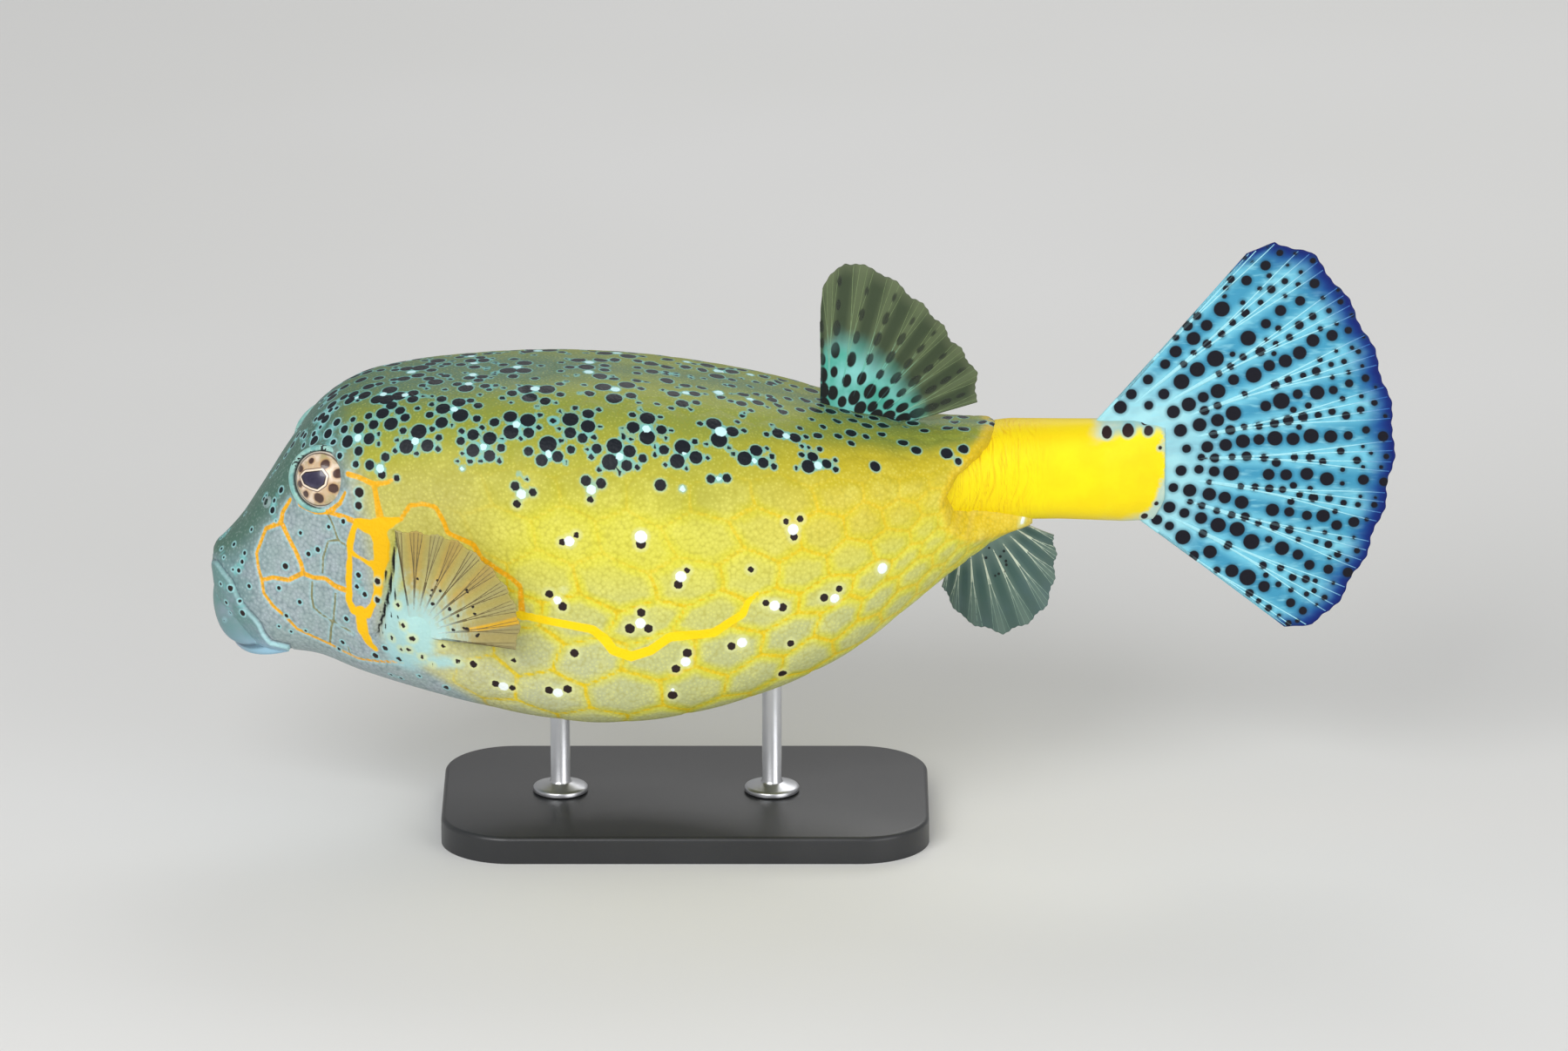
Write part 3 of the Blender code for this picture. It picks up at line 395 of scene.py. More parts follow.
# Markings, in the photo's pixels. A stroke lists column, row and half width.
strokes = {
    "seam": [
        [(349, 580, 1.6), (368, 588, 2.0), (383, 588, 2.2), (397, 578, 2.0), (403, 566, 1.4)],
        [(383, 588, 2.0), (400, 594, 2.4), (414, 600, 3.0)],
        [(337, 574, 1.8), (328, 588, 2.2), (326, 600, 2.6), (308, 607, 1.9), (303, 620, 1.7), (297, 635, 1.5),
         (299, 652, 1.3), (303, 666, 1.5), (305, 681, 1.3), (316, 696, 1.4), (330, 708, 1.3), (343, 722, 1.3),
         (362, 731, 1.3), (380, 739, 1.4), (395, 747, 1.4), (414, 756, 1.3), (437, 759, 1.4), (466, 759, 1.2)],
        [(328, 603, 2.4), (336, 620, 2.0), (343, 633, 1.9), (349, 647, 2.2), (351, 656, 2.2)],
        [(303, 666, 1.7), (316, 663, 1.9), (334, 666, 2.0), (351, 658, 2.4), (363, 663, 2.0), (377, 664, 2.0),
         (389, 673, 2.6), (403, 678, 2.8)],
        [(406, 545, 2.4), (418, 549, 2.2), (435, 557, 2.6), (449, 555, 2.0), (459, 551, 1.2)],
        [(435, 558, 2.4), (438, 575, 2.6), (441, 592, 4.0)],
        [(446, 600, 3.4), (465, 597, 2.0), (476, 581, 2.0), (490, 579, 1.8), (505, 582, 1.8), (515, 600, 2.0),
         (519, 612, 1.8), (548, 625, 2.4), (556, 640, 2.6), (575, 653, 2.2), (592, 664, 2.0), (601, 672, 2.0),
         (603, 705, 3.2)],
    ],
    "thread": [
        [(381, 588, 0.8), (388, 606, 0.8), (392, 618, 0.8)],
        [(362, 668, 0.8), (361, 684, 0.9), (363, 697, 0.9), (372, 705, 0.8), (385, 713, 0.8), (401, 722, 0.8),
         (409, 727, 1.0)],
        [(389, 681, 0.9), (386, 710, 0.9), (383, 721, 1.1), (381, 739, 1.1)],
        [(374, 658, 0.8), (375, 640, 0.9), (381, 622, 0.9), (392, 620, 0.9), (403, 627, 1.0)],
        [(402, 742, 0.6), (405, 752, 0.6)],
    ],
    "gold": [
        [(416, 601, 6.0), (432, 606, 10.0), (446, 602, 8.5), (461, 597, 3.5)],
        [(412, 606, 4.0), (407, 622, 3.4), (406, 645, 3.6), (405, 668, 3.6), (405, 690, 3.4), (410, 700, 6.0)],
        [(436, 606, 10.0), (443, 622, 11.0), (443, 640, 10.0), (440, 656, 7.0), (432, 646, 4.0)],
        [(410, 636, 3.0), (417, 640, 3.0), (427, 646, 3.2), (433, 650, 3.0)],
        [(440, 652, 7.5), (438, 680, 4.6), (432, 694, 4.2), (426, 704, 7.0)],
        [(418, 702, 8.5), (420, 722, 7.5), (427, 737, 6.0), (434, 744, 4.0)],
    ],
    "zigzag": [
        [(603, 708, 2.4), (612, 706, 3.6)],
        [(526, 722, 1.2), (545, 716, 2.6), (575, 707, 3.0), (600, 704, 3.6), (620, 709, 3.8), (641, 713, 4.0),
         (683, 721, 4.4), (697, 733, 5.0), (706, 745, 5.0), (726, 752, 5.2), (748, 745, 5.0), (770, 730, 4.6),
         (800, 727, 4.6), (820, 725, 4.6), (838, 713, 4.2), (853, 704, 3.6), (859, 690, 2.6), (870, 680, 1.6)],
    ],
    "slit": [
        [(460, 612, 0.9), (457, 630, 1.5), (454, 655, 1.6), (450, 680, 1.8), (443, 706, 1.7), (434, 732, 0.7)],
    ],
    "mark": [
        [(459, 617, 0.9), (456, 634, 1.2)], [(448, 654, 1.0), (446, 671, 1.2)], [(457, 668, 0.9), (460, 690, 0.8)],
        [(447, 689, 1.1), (441, 703, 1.0)], [(450, 712, 1.2), (444, 727, 0.8)], [(463, 705, 0.8), (467, 716, 0.8)],
        [(438, 717, 1.0), (434, 731, 0.8)], [(452, 690, 0.7), (455, 706, 0.9)], [(469, 640, 0.6), (470, 652, 0.7)],
    ],
    "pale": [
        [(464, 620, 2.0), (461, 650, 3.0), (456, 684, 4.4), (451, 710, 5.6), (453, 734, 6.0), (474, 750, 6.0),
         (502, 758, 5.0), (530, 760, 3.0)],
        [(468, 700, 8.0), (476, 722, 14.0), (492, 740, 12.0)],
    ],
}
# Spots of the left side: column, row and radius, in the photo's pixels
headSpots = [
    (381, 499, 6), (365, 507, 6.3), (388, 509, 3.7), (338, 511, 5), (352, 512, 3.4), (330, 523, 3.7),
    (344, 500, 4.2), (353, 501, 4), (364, 499, 3.6), (379, 517, 3), (397, 525, 3.8), (326, 563, 3.8),
    (320, 537, 3.5), (313, 546, 2.4), (418, 566, 5.7), (417, 581, 4.6), (316, 586, 3.9), (318, 575, 2.6),
    (305, 573, 2.6), (308, 569, 1.8), (282, 590, 2), (291, 608, 2.3), (261, 609, 1.8), (254, 618, 1.4),
    (255, 630, 1.8), (258, 640, 1.4), (270, 625, 2.4), (283, 635, 2.4), (280, 645, 2.5), (276, 655, 2.6),
    (269, 654, 1.5), (267, 675, 3.4), (256, 670, 1.8), (288, 673, 2.5), (262, 691, 2.2), (281, 703, 3.6),
    (266, 703, 2), (277, 690, 1.8), (323, 675, 2.4), (347, 691, 2.6), (331, 650, 3.6), (358, 636, 2.9),
    (369, 631, 3.1), (349, 612, 2.3), (382, 605, 2.5), (399, 599, 2.9), (416, 660, 3.4), (414, 673, 2.9),
    (423, 682, 3.2), (438, 667, 4), (438, 688, 3.8), (401, 710, 3.1), (396, 737, 2.9), (391, 745, 2.6),
    (434, 752, 4), (446, 743, 3.7), (462, 755, 3.7), (475, 742, 3.1), (480, 729, 3.7), (513, 740, 3.1),
    (470, 714, 3), (451, 774, 2.4), (463, 778, 2.7), (484, 775, 2.5), (515, 788, 3.8), (529, 758, 3.4),
    (547, 761, 4.6), (593, 756, 3.4), (331, 707, 2.6), (353, 724, 1.9), (336, 725, 1.8), (322, 719, 1.6),
    (320, 598, 1.3), (462, 693, 2.8), (455, 730, 3), (466, 742, 2.6), (489, 752, 3), (500, 762, 2.2),
]
crownSpots = [  # on the forehead and the front of the back
    (372, 454, 5.5), (384, 446, 6), (383, 457, 6.5), (399, 436, 6), (397, 445, 5.5), (409, 432, 6),
    (416, 437, 6.5), (422, 428, 6), (426, 445, 6.5), (437, 435, 5.5), (438, 442, 4.5), (398, 457, 5),
    (371, 467, 3), (350, 480, 4), (377, 482, 5.5), (391, 486, 4.6), (400, 494, 4.6), (422, 455, 7),
    (405, 461, 6), (437, 460, 7), (451, 449, 8), (448, 460, 8), (462, 456, 8), (478, 453, 6),
    (478, 460, 6), (454, 467, 6), (428, 479, 4.2), (444, 476, 7), (464, 473, 5.5), (470, 481, 5.2),
    (454, 488, 7.5), (434, 489, 5.5), (455, 437, 4.5), (468, 424, 7), (466, 436, 7), (484, 423, 9),
    (482, 432, 7), (497, 426, 5.5), (495, 436, 6), (503, 440, 8), (514, 433, 5), (488, 444, 4),
]
flowers = [  # the groups of spots on the back's plates
    (404, 508, 7.5), (429, 505, 7), (417, 493, 7), (417, 519, 5.6), (430, 535, 5.8), (444, 546, 5),
    (448, 526, 5.3), (414, 534, 4), (461, 550, 4), (486, 497, 9.3), (472, 514, 8.6), (496, 513, 7.5),
    (468, 496, 4.5), (509, 504, 4.3), (513, 471, 8.5), (531, 464, 8), (533, 479, 9.5), (512, 487, 7.5),
    (511, 460, 6), (544, 462, 4.8), (553, 468, 5.4), (552, 483, 5), (500, 466, 3.8), (498, 478, 5),
    (548, 501, 7), (567, 505, 8), (548, 519, 7.6), (567, 525, 6.8), (534, 508, 5.2), (580, 516, 5),
    (590, 481, 8), (610, 485, 9), (591, 498, 8.8), (611, 499, 6.5), (572, 487, 6), (638, 485, 4),
    (607, 449, 10), (630, 450, 10), (611, 459, 9), (591, 454, 6), (629, 463, 6.4), (616, 437, 5),
    (645, 444, 5), (646, 456, 5), (633, 512, 10), (611, 520, 5.5), (626, 530, 7), (644, 526, 6.6),
    (659, 518, 5), (530, 420, 6), (541, 415, 7), (556, 415, 7), (546, 423, 7), (538, 448, 9),
    (552, 439, 6), (560, 446, 6), (528, 443, 5.6), (585, 428, 10), (603, 419, 9), (603, 428, 9),
    (591, 434, 6), (579, 421, 5.6), (622, 422, 4), (694, 447, 9.5), (721, 445, 9.5), (707, 460, 9.5),
    (726, 457, 6.4), (679, 454, 6), (737, 449, 4.5), (706, 437, 6), (664, 415, 9), (690, 415, 8.4),
    (674, 424, 9.4), (655, 424, 6), (695, 422, 6), (645, 418, 4), (748, 419, 8.6), (766, 423, 7.8),
    (749, 429, 7.6), (732, 416, 5.6), (732, 424, 5), (766, 414, 7), (765, 432, 4), (774, 455, 7.5),
    (798, 455, 6.8), (787, 445, 6.5), (784, 466, 7.5), (800, 465, 5), (812, 421, 9), (840, 428, 8),
    (823, 434, 9), (806, 426, 6), (840, 438, 5), (853, 455, 7), (870, 465, 7), (851, 466, 6.4),
    (868, 454, 4.4), (862, 474, 3.6), (828, 458, 5.2), (883, 457, 4.5), (893, 467, 5.4), (904, 460, 5),
    (658, 484, 9.5), (678, 478, 7), (678, 492, 8.4), (658, 499, 7), (672, 505, 6), (663, 471, 4),
    (639, 485, 3.8), (645, 495, 3), (646, 474, 3), (745, 483, 9), (729, 493, 7.6), (745, 504, 9),
    (761, 496, 6.2), (728, 479, 4.5), (727, 506, 3), (820, 489, 9), (841, 498, 7.4), (826, 507, 9.6),
    (893, 500, 7.4), (912, 505, 7), (708, 514, 9), (688, 517, 6), (725, 520, 7.4), (703, 532, 9.2),
    (722, 536, 6.5), (740, 528, 5.2), (682, 526, 3.8), (785, 515, 9.2), (764, 518, 6), (779, 531, 8.5),
    (800, 527, 7.6), (855, 528, 8.5), (868, 519, 7.4), (876, 533, 6.4), (932, 526, 6.5), (927, 537, 8),
    (948, 534, 6),
]
rearSpots = [  # along the foot of the dorsal fin, and behind it
    (876, 434, 6), (886, 441, 6.2), (898, 437, 6), (911, 437, 6), (911, 445, 5), (931, 450, 8), (924, 461, 6.5),
    (918, 473, 5.5), (936, 473, 8.2), (941, 461, 5), (953, 474, 6.4), (931, 484, 3.5), (944, 492, 4),
    (938, 502, 5.4), (960, 485, 5.4), (961, 503, 4.8), (976, 499, 6.4), (976, 511, 4.4), (978, 485, 5.6),
    (994, 491, 6.4), (993, 503, 4.2), (1011, 500, 4.6), (1013, 490, 7), (1025, 482, 8), (1047, 483, 7),
    (1039, 492, 2.9), (1060, 478, 5), (969, 474, 6.4), (985, 470, 5), (1002, 474, 6), (1035, 510, 6),
    (1050, 519, 6), (1085, 522, 7), (1104, 517, 6), (1098, 531, 4.2), (1087, 493, 6), (1105, 494, 6.4),
    (1095, 486, 5), (1127, 486, 5.2), (1139, 482, 4.4), (1003, 537, 6.5),
]
flankSpots = [
    (596, 559, 5.4), (616, 566, 4.8), (598, 579, 4.8), (600, 545, 2), (609, 551, 2.6), (676, 553, 6.2),
    (693, 556, 6), (681, 574, 4.2), (760, 558, 6.8), (817, 551, 5.2), (835, 550, 5.2), (649, 622, 4.2),
    (665, 614, 3.8), (738, 624, 6), (780, 670, 5.4), (790, 654, 3.8), (862, 653, 3.9), (634, 681, 5),
    (649, 695, 5.4), (650, 677, 2), (738, 702, 5.2), (725, 720, 6), (746, 720, 5.4), (879, 691, 4.2),
    (898, 696, 5.2), (840, 740, 5), (790, 748, 5.6), (777, 766, 5.4), (662, 748, 5.2), (572, 783, 4.8),
    (591, 788, 4.2), (633, 790, 5.2), (654, 789, 5.4), (773, 796, 6), (902, 599, 3.8), (918, 596, 4.2),
    (911, 616, 4.8), (945, 685, 5), (962, 675, 4.2), (907, 737, 4.4), (898, 772, 5.4), (1147, 624, 3.4),
    (530, 531, 2.6),
]
dots = [  # white dots of the left side: column, row and radius
    (416, 504, 5), (442, 539, 5.4), (482, 508, 5), (526, 472, 4.8), (560, 515, 4.5), (597, 490, 5),
    (617, 449, 6), (634, 524, 4), (474, 428, 5.5), (541, 443, 5), (545, 418, 5), (595, 424, 5.4),
    (444, 454, 4.6), (469, 455, 4.5), (413, 458, 3), (708, 450, 6), (677, 418, 6), (788, 454, 4.6),
    (825, 427, 6.4), (861, 461, 4.5), (744, 495, 5.4), (828, 498, 7.4), (902, 503, 4.8), (714, 526, 5),
    (787, 523, 3), (866, 531, 3.6), (938, 536, 5.2), (603, 568, 6), (682, 563, 6), (785, 562, 4),
    (826, 551, 3.4), (657, 621, 6.4), (738, 616, 7.8), (783, 661, 7), (643, 688, 5.4), (737, 714, 6.6),
    (889, 694, 6.6), (852, 736, 6.4), (788, 758, 6.4), (581, 786, 6.4), (643, 793, 6.4), (910, 608, 6.8),
    (1011, 652, 6.8), (957, 686, 6), (536, 539, 3), (773, 790, 3), (633, 521, 3), (1173, 605, 3),
]


spotRules = {  # in the photo's pixels, where a length
    "crownShare": 1.12, "dotShare": 0.95, "overlap": 0.9,  # of the radii as listed, and of two that meet
    "layers": 3, "layerGap": 0.9 * mm,
    "ringed": 6, "inRing": 6, "radii": (2.6, 4.0), "gaps": (1.8, 3.2), "flatness": 0.9, "clear": 1.6,
    "strokeStep": 8,
}


def greedyLayers(spots, count, clearance):  # spots that nearly touch go in different layers
    layers = [[] for _ in range(count)]
    for place, radius in spots:
        for layer in layers:
            if all(np.linalg.norm(place - p) > radius + r + clearance for p, r in layer):
                break
        layer.append((place, radius))
    return layers


def spotDistances(points, spots):  # mm to the edges of the two nearest spots, under 0 inside
    first = np.full(len(points), farOff)
    second = np.full(len(points), farOff)
    for place, radius in spots:
        gap = (np.linalg.norm(points - place, axis=1) - radius) / mm
        second = np.minimum(second, np.maximum(gap, first))
        first = np.minimum(first, gap)
    return first, second


def strokeDistance(points, skin, lines):  # mm to the edge of the nearest stroke
    nearest = np.full(len(points), farOff)
    for line in lines:
        dense = []
        for start, end in zip(line, line[1:]):
            parts = max(1, round(math.hypot(end[0] - start[0], end[1] - start[1]) / spotRules["strokeStep"]))
            for part in range(parts):
                share = part / parts
                dense.append(tuple(a + (b - a) * share for a, b in zip(start, end)))
        dense.append(line[-1])
        path = [(skin.photoPoint(column, row), half * picture["pixel"]) for column, row, half in dense]
        for (start, startHalf), (end, endHalf) in zip(path, path[1:]):
            way = end - start
            share = np.clip(((points - start) @ way) / max(way @ way, 1e-12), 0, 1)
            gap = np.linalg.norm(points - start - share[:, None] * way, axis=1)
            nearest = np.minimum(nearest, (gap - startHalf - (endHalf - startHalf) * share) / mm)
    return nearest


def plateFields(skin):  # mm to the nearest seam, and from the plate's own middle
    first = skin.runAt(body["platedFrom"] * mm)
    last = skin.runAt(body["platedTo"] * mm)
    halves = 2 * body["plateColumns"] + 1
    run = np.repeat(skin.run, skin.spokes)
    turn = np.tile(skin.turn, len(skin.run))
    girth = np.repeat(skin.girth, skin.spokes) / mm
    turns = np.array(body["plateTurns"])
    fromTop = 2 * np.minimum(turn, 1 - turn)
    row = np.interp(fromTop, turns, np.arange(len(turns)))
    rowHeight = np.interp(fromTop, turns, np.gradient(turns)) / 2 * girth
    half = (run - first) / (last - first) * halves
    halfLength = (last - first) / halves * girth
    slip = body["plateSlip"] * np.exp(-(((row - body["slipRow"]) / body["slipSpread"]) ** 2))
    half = half - slip * np.sin(math.pi * np.clip(half / halves, 0, 1))
    warp = body["plateWarp"]
    half = half + warp * np.sin(2.1 * row + 0.7 * half)
    level = np.clip(row, 0, 1) * np.clip(len(turns) - 1 - row, 0, 1)  # 0 on the back's and the belly's middle
    row = row + warp / 2 * np.sin(1.3 * half + 0.9 * row) * level
    tall = math.sqrt(3)  # the plates are regular hexagons where a row is this many half plates high
    nearest = np.full((2, len(run)), 99.0)
    spots = np.zeros((2, 2, len(run)))
    low = np.clip(np.floor(row), 0, len(turns) - 2)
    for step in (0, 1):
        middleRow = low + step
        start = 1 + middleRow % 2
        middle = 2 * np.floor((half - start) / 2) + start
        for column in (0, 2):
            over = np.stack([half - middle - column, (row - middleRow) * tall])
            gap = np.hypot(*over)
            closest = gap < nearest[0]
            second = ~closest & (gap < nearest[1])
            nearest[1] = np.where(closest, nearest[0], np.where(second, gap, nearest[1]))
            spots[1] = np.where(closest, spots[0], np.where(second, over, spots[1]))
            nearest[0] = np.where(closest, gap, nearest[0])
            spots[0] = np.where(closest, over, spots[0])
    way = spots[0] - spots[1]
    span = np.maximum(np.hypot(*way), 1e-6)
    seam = (nearest[1] ** 2 - nearest[0] ** 2) / 2 / span
    steepness = np.hypot(way[0] / span / halfLength, way[1] / span * tall / rowHeight)
    fromMiddle = np.hypot(spots[0][0] * halfLength, spots[0][1] / tall * rowHeight)
    return np.clip(seam / np.maximum(steepness, 1e-6), 0, 8), fromMiddle


def satellites(spots, others, draw):  # small spots round the larger ones, clear of all the rest
    rules = spotRules
    taken = spots + others
    added = []
    for column, row, radius in spots:
        turn = 360 / rules["inRing"]
        first = draw.uniform(0, turn)
        for step in range(rules["inRing"] if radius >= rules["ringed"] else 0):
            small = draw.uniform(*rules["radii"])
            reach = radius + small + draw.uniform(*rules["gaps"])
            angle = math.radians(first + step * turn)
            place = (column + reach * math.cos(angle), row + reach * math.sin(angle) * rules["flatness"])
            gaps = (math.hypot(place[0] - c, place[1] - r) - size for c, r, size in taken)
            if min(gaps) > small + rules["clear"]:
                taken.append((*place, small))
                added.append((*place, small))
    return added


def bothSides(skin, spots, share=1.0):  # spots as the photo shows them, and their mirror images
    near = [(skin.photoPoint(column, row), radius * share * picture["pixel"]) for column, row, radius in spots]
    far = []
    for place, radius in near:
        other = place * [1, -1, 1]
        if all(np.linalg.norm(other - p) > spotRules["overlap"] * (radius + r) for p, r in near):
            far.append((other, radius))
    return near + far


def eyeFrame(node, side):  # the middle of an eye's solid, and its ways forward, up and out
    points = np.array([v.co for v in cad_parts[node].data.vertices])
    middle = (points.min(axis=0) + points.max(axis=0)) / 2
    _, _, axes = np.linalg.svd(points - middle, full_matrices=False)
    look = axes[2] * math.copysign(1.0, axes[2][1] * side)
    forward = np.array([-1.0, 0.0, 0.0]) + look * look[0]
    forward /= np.linalg.norm(forward)
    up = np.cross(forward, look) * side
    return middle, forward, up * math.copysign(1.0, up[2]), look


def outlineDepth(x, z, outline):  # distance to an outline, over 0 inside it
    outline = np.array(outline, float)
    inside = np.zeros(x.shape, bool)
    nearest = np.full(x.shape, 99.0)
    for (ax, az), (wayX, wayZ) in zip(outline, np.roll(outline, -1, axis=0) - outline):
        crosses = (az > z) != (az + wayZ > z)
        inside ^= crosses & (x < wayX * (z - az) / (wayZ or 1e-9) + ax)
        share = np.clip(((x - ax) * wayX + (z - az) * wayZ) / (wayX**2 + wayZ**2), 0, 1)
        nearest = np.minimum(nearest, np.hypot(x - ax - share * wayX, z - az - share * wayZ))
    return np.where(inside, nearest, -nearest)


def openingDistance(points):  # mm inside the shell's rear margin, seen from the side
    outline = body["opening"] + body["behind"]
    return outlineDepth(points[:, 0] / mm, (points[:, 2] - lift) / mm, outline)


def photoPlace(points):  # the column and row at which the photo shows points of the left side
    tilt = picture["elevation"]
    up = points[:, 1] * math.sin(tilt) + (points[:, 2] - lift) * math.cos(tilt) + picture["drop"]
    return points[:, 0] / picture["pixel"] + picture["middle"], picture["bellyRow"] - up / picture["pixel"]


mouthOutline = [  # round the lips, in the photo's pixels
    (226, 642), (250, 644), (256, 652), (262, 660), (268, 667), (273, 678), (278, 690), (286, 700), (295, 709),
    (301, 717), (305, 727), (312, 736), (333, 741), (336, 770), (226, 770),
]
mouthReach = 350  # columns past this one are clear of the lips


def mouthDepth(mirrored):  # mm inside the outline of the lips, over 0 on them
    columns, rows = photoPlace(mirrored)
    depth = outlineDepth(columns, rows, mouthOutline) * picture["pixel"] / mm
    return np.where(columns < mouthReach, np.clip(depth, -farOff, farOff), -farOff)


socket = {"rimRadius": 8.7, "rimWidth": 1.5, "rimHeight": 0.8}
finPad = {"place": (474, 722), "length": 7.0, "width": 4.6, "height": 2.2}


def skinFields(skin):
    draw = np.random.default_rng(randomSeed)
    seam, fromMiddle = plateFields(skin)
    flat = skin.flat
    mirrored = leftSide(flat)
    fields = {name: strokeDistance(mirrored, skin, lines) for name, lines in strokes.items()}
    onBack = [(column, row, radius * spotRules["crownShare"]) for column, row, radius in crownSpots] + flowers
    small = satellites(onBack, headSpots + rearSpots + flankSpots + dots, draw)
    dark = bothSides(skin, headSpots + onBack + rearSpots + flankSpots + small)
    for index, layer in enumerate(greedyLayers(dark, spotRules["layers"], spotRules["layerGap"])):
        fields[f"dark{index}"] = spotDistances(flat, layer)[0]
    white = bothSides(skin, dots, spotRules["dotShare"])
    fields["white"] = spotDistances(flat, white)[0]
    fields["second"] = spotDistances(flat, dark + white)[1]
    x = flat[:, 0] / mm
    turn = np.tile(skin.turn, len(skin.run))
    fold = np.minimum(turn, 1 - turn)  # 0 on the middle of the back, 0.5 on the middle of the belly
    fields.update(plateSeam=seam, fold=fold, margin=np.clip(openingDistance(flat), -farOff, farOff))
    edge = x + body["headLean"] * np.maximum(0.3 - fold, 0) - body["headUnder"] * fade(fold, 0.33, 0.39)
    fields["headShare"] = 1 - fade(edge, *body["headEnds"])
    setsIn, ends = body["plain"]
    rear = fade(x, *setsIn) * (1 - fade(x, *ends))
    low = fade(fold, 0.20, 0.26)
    upper = fade(fold, 0.13, 0.19) * (0.3 + 0.6 * fade(x, -40, 0))
    fields["seamShow"] = np.maximum(low, upper) * rear * (1 - 0.45 * fade(x, 5.0, 40.0))
    slit = fields["slit"]
    mouth = mouthDepth(mirrored)
    fields["mouth"] = mouth
    rise = body["plateRelief"] * fade(seam, 0.05, 1.5) * rear
    rise += body["plateCrown"] * (1 - fade(fromMiddle, 0.0, 8.0)) * rear
    rise -= body["seamDepth"] * (1 - fade(np.minimum(fields["seam"], fields["thread"] + 0.2), -0.2, 0.5))
    rise += body["lipRise"] * fade(mouth, 0.0, 0.7)
    rise -= body["lipGroove"] * (1 - fade(np.abs(mouth + 0.25), 0.1, 0.6))
    rise += body["gillBank"] * (1 - fade(np.abs(slit - 1.3), 0.0, 1.4))
    rise -= body["gillDepth"] * (1 - fade(slit, -0.1, 0.55))
    for side, node in ((-1, "eye_left"), (1, "eye_right")):
        middle, forward, up, look = eyeFrame(node, side)
        local = flat - middle
        reach = np.hypot(local @ forward, local @ up * 1.08) / mm
        near = local @ look > -4 * mm
        bank = np.exp(-(((reach - socket["rimRadius"]) / socket["rimWidth"]) ** 2))
        rise += socket["rimHeight"] * bank * near
    pad = skin.photoPoint(*finPad["place"])
    local = mirrored - pad
    oval = (local[:, 0] / (finPad["width"] * mm)) ** 2 + (local[:, 2] / (finPad["length"] * mm)) ** 2
    fields["pad"] = np.sqrt(oval) * finPad["width"]
    rise += finPad["height"] * np.exp(-oval)
    return fields, rise


def buildSkin():
    skin = Skin(body["rings"], body["spokes"])
    fields, rise = skinFields(skin)
    points = skin.flat + skin.normals.reshape(-1, 3) * rise[:, None] * mm
    inside = fade(openingDistance(points), 0.0, 2.2)
    middle = lift + body["stalkMiddle"] * mm
    narrowed = 1 - body["openingDraw"] * inside
    points[:, 1] *= narrowed
    points[:, 2] = middle + (points[:, 2] - middle) * narrowed
    return skin, tubePiece("bodySkin", points.reshape(skin.grid.shape), fields)


skinColours = {
    "back": rgb(84, 118, 92), "backEdge": rgb(138, 150, 60), "ridge": rgb(176, 172, 52),
    "flank": rgb(220, 214, 68), "lowFlank": rgb(204, 202, 76), "plate": rgb(184, 190, 140),
    "belly": rgb(186, 194, 158), "seamLine": rgb(228, 196, 24), "zigzag": rgb(252, 216, 4),
    "gold": rgb(250, 194, 6),
    "orange": rgb(246, 178, 22), "thread": rgb(134, 124, 56), "cheek": rgb(156, 174, 174),
    "cheekEdge": rgb(166, 204, 208), "snout": rgb(118, 150, 152), "forehead": rgb(84, 118, 104),
    "dark": rgb(40, 27, 26), "darkBlue": rgb(20, 26, 34), "outline": rgb(116, 190, 188),
    "halo": rgb(222, 226, 160), "white": rgb(244, 252, 250), "blueWhite": rgb(206, 246, 250),
    "cyan": rgb(170, 218, 222), "slit": rgb(14, 16, 18), "grainLight": rgb(240, 236, 120),
    "grainShade": rgb(166, 156, 40), "shoulder": rgb(184, 178, 116),
    "pallid": rgb(192, 196, 170), "warm": rgb(214, 188, 30), "margin": rgb(240, 196, 16),
}


def lipTint(paint, mottle, depth):  # the lips' colours, with a pale rim against the cheek
    along, up = paint.axes()
    tint = paint.mix(up.rise(45.0, 58.0), rgb(136, 170, 188), rgb(108, 146, 144))
    tint = paint.mix(mottle.rise(0.4, 0.7) * 0.5, tint, rgb(152, 160, 178))
    tint = paint.mix(along.rise(-147.0, -135.0) * up.fall(46.0, 54.0) * 0.85, tint, rgb(162, 208, 232))
    rim = (depth - 0.42).size().fall(0.05, 0.55)
    return paint.mix(rim * (up.fall(50.0, 62.0) * 0.65 + 0.3), tint, rgb(186, 232, 236))


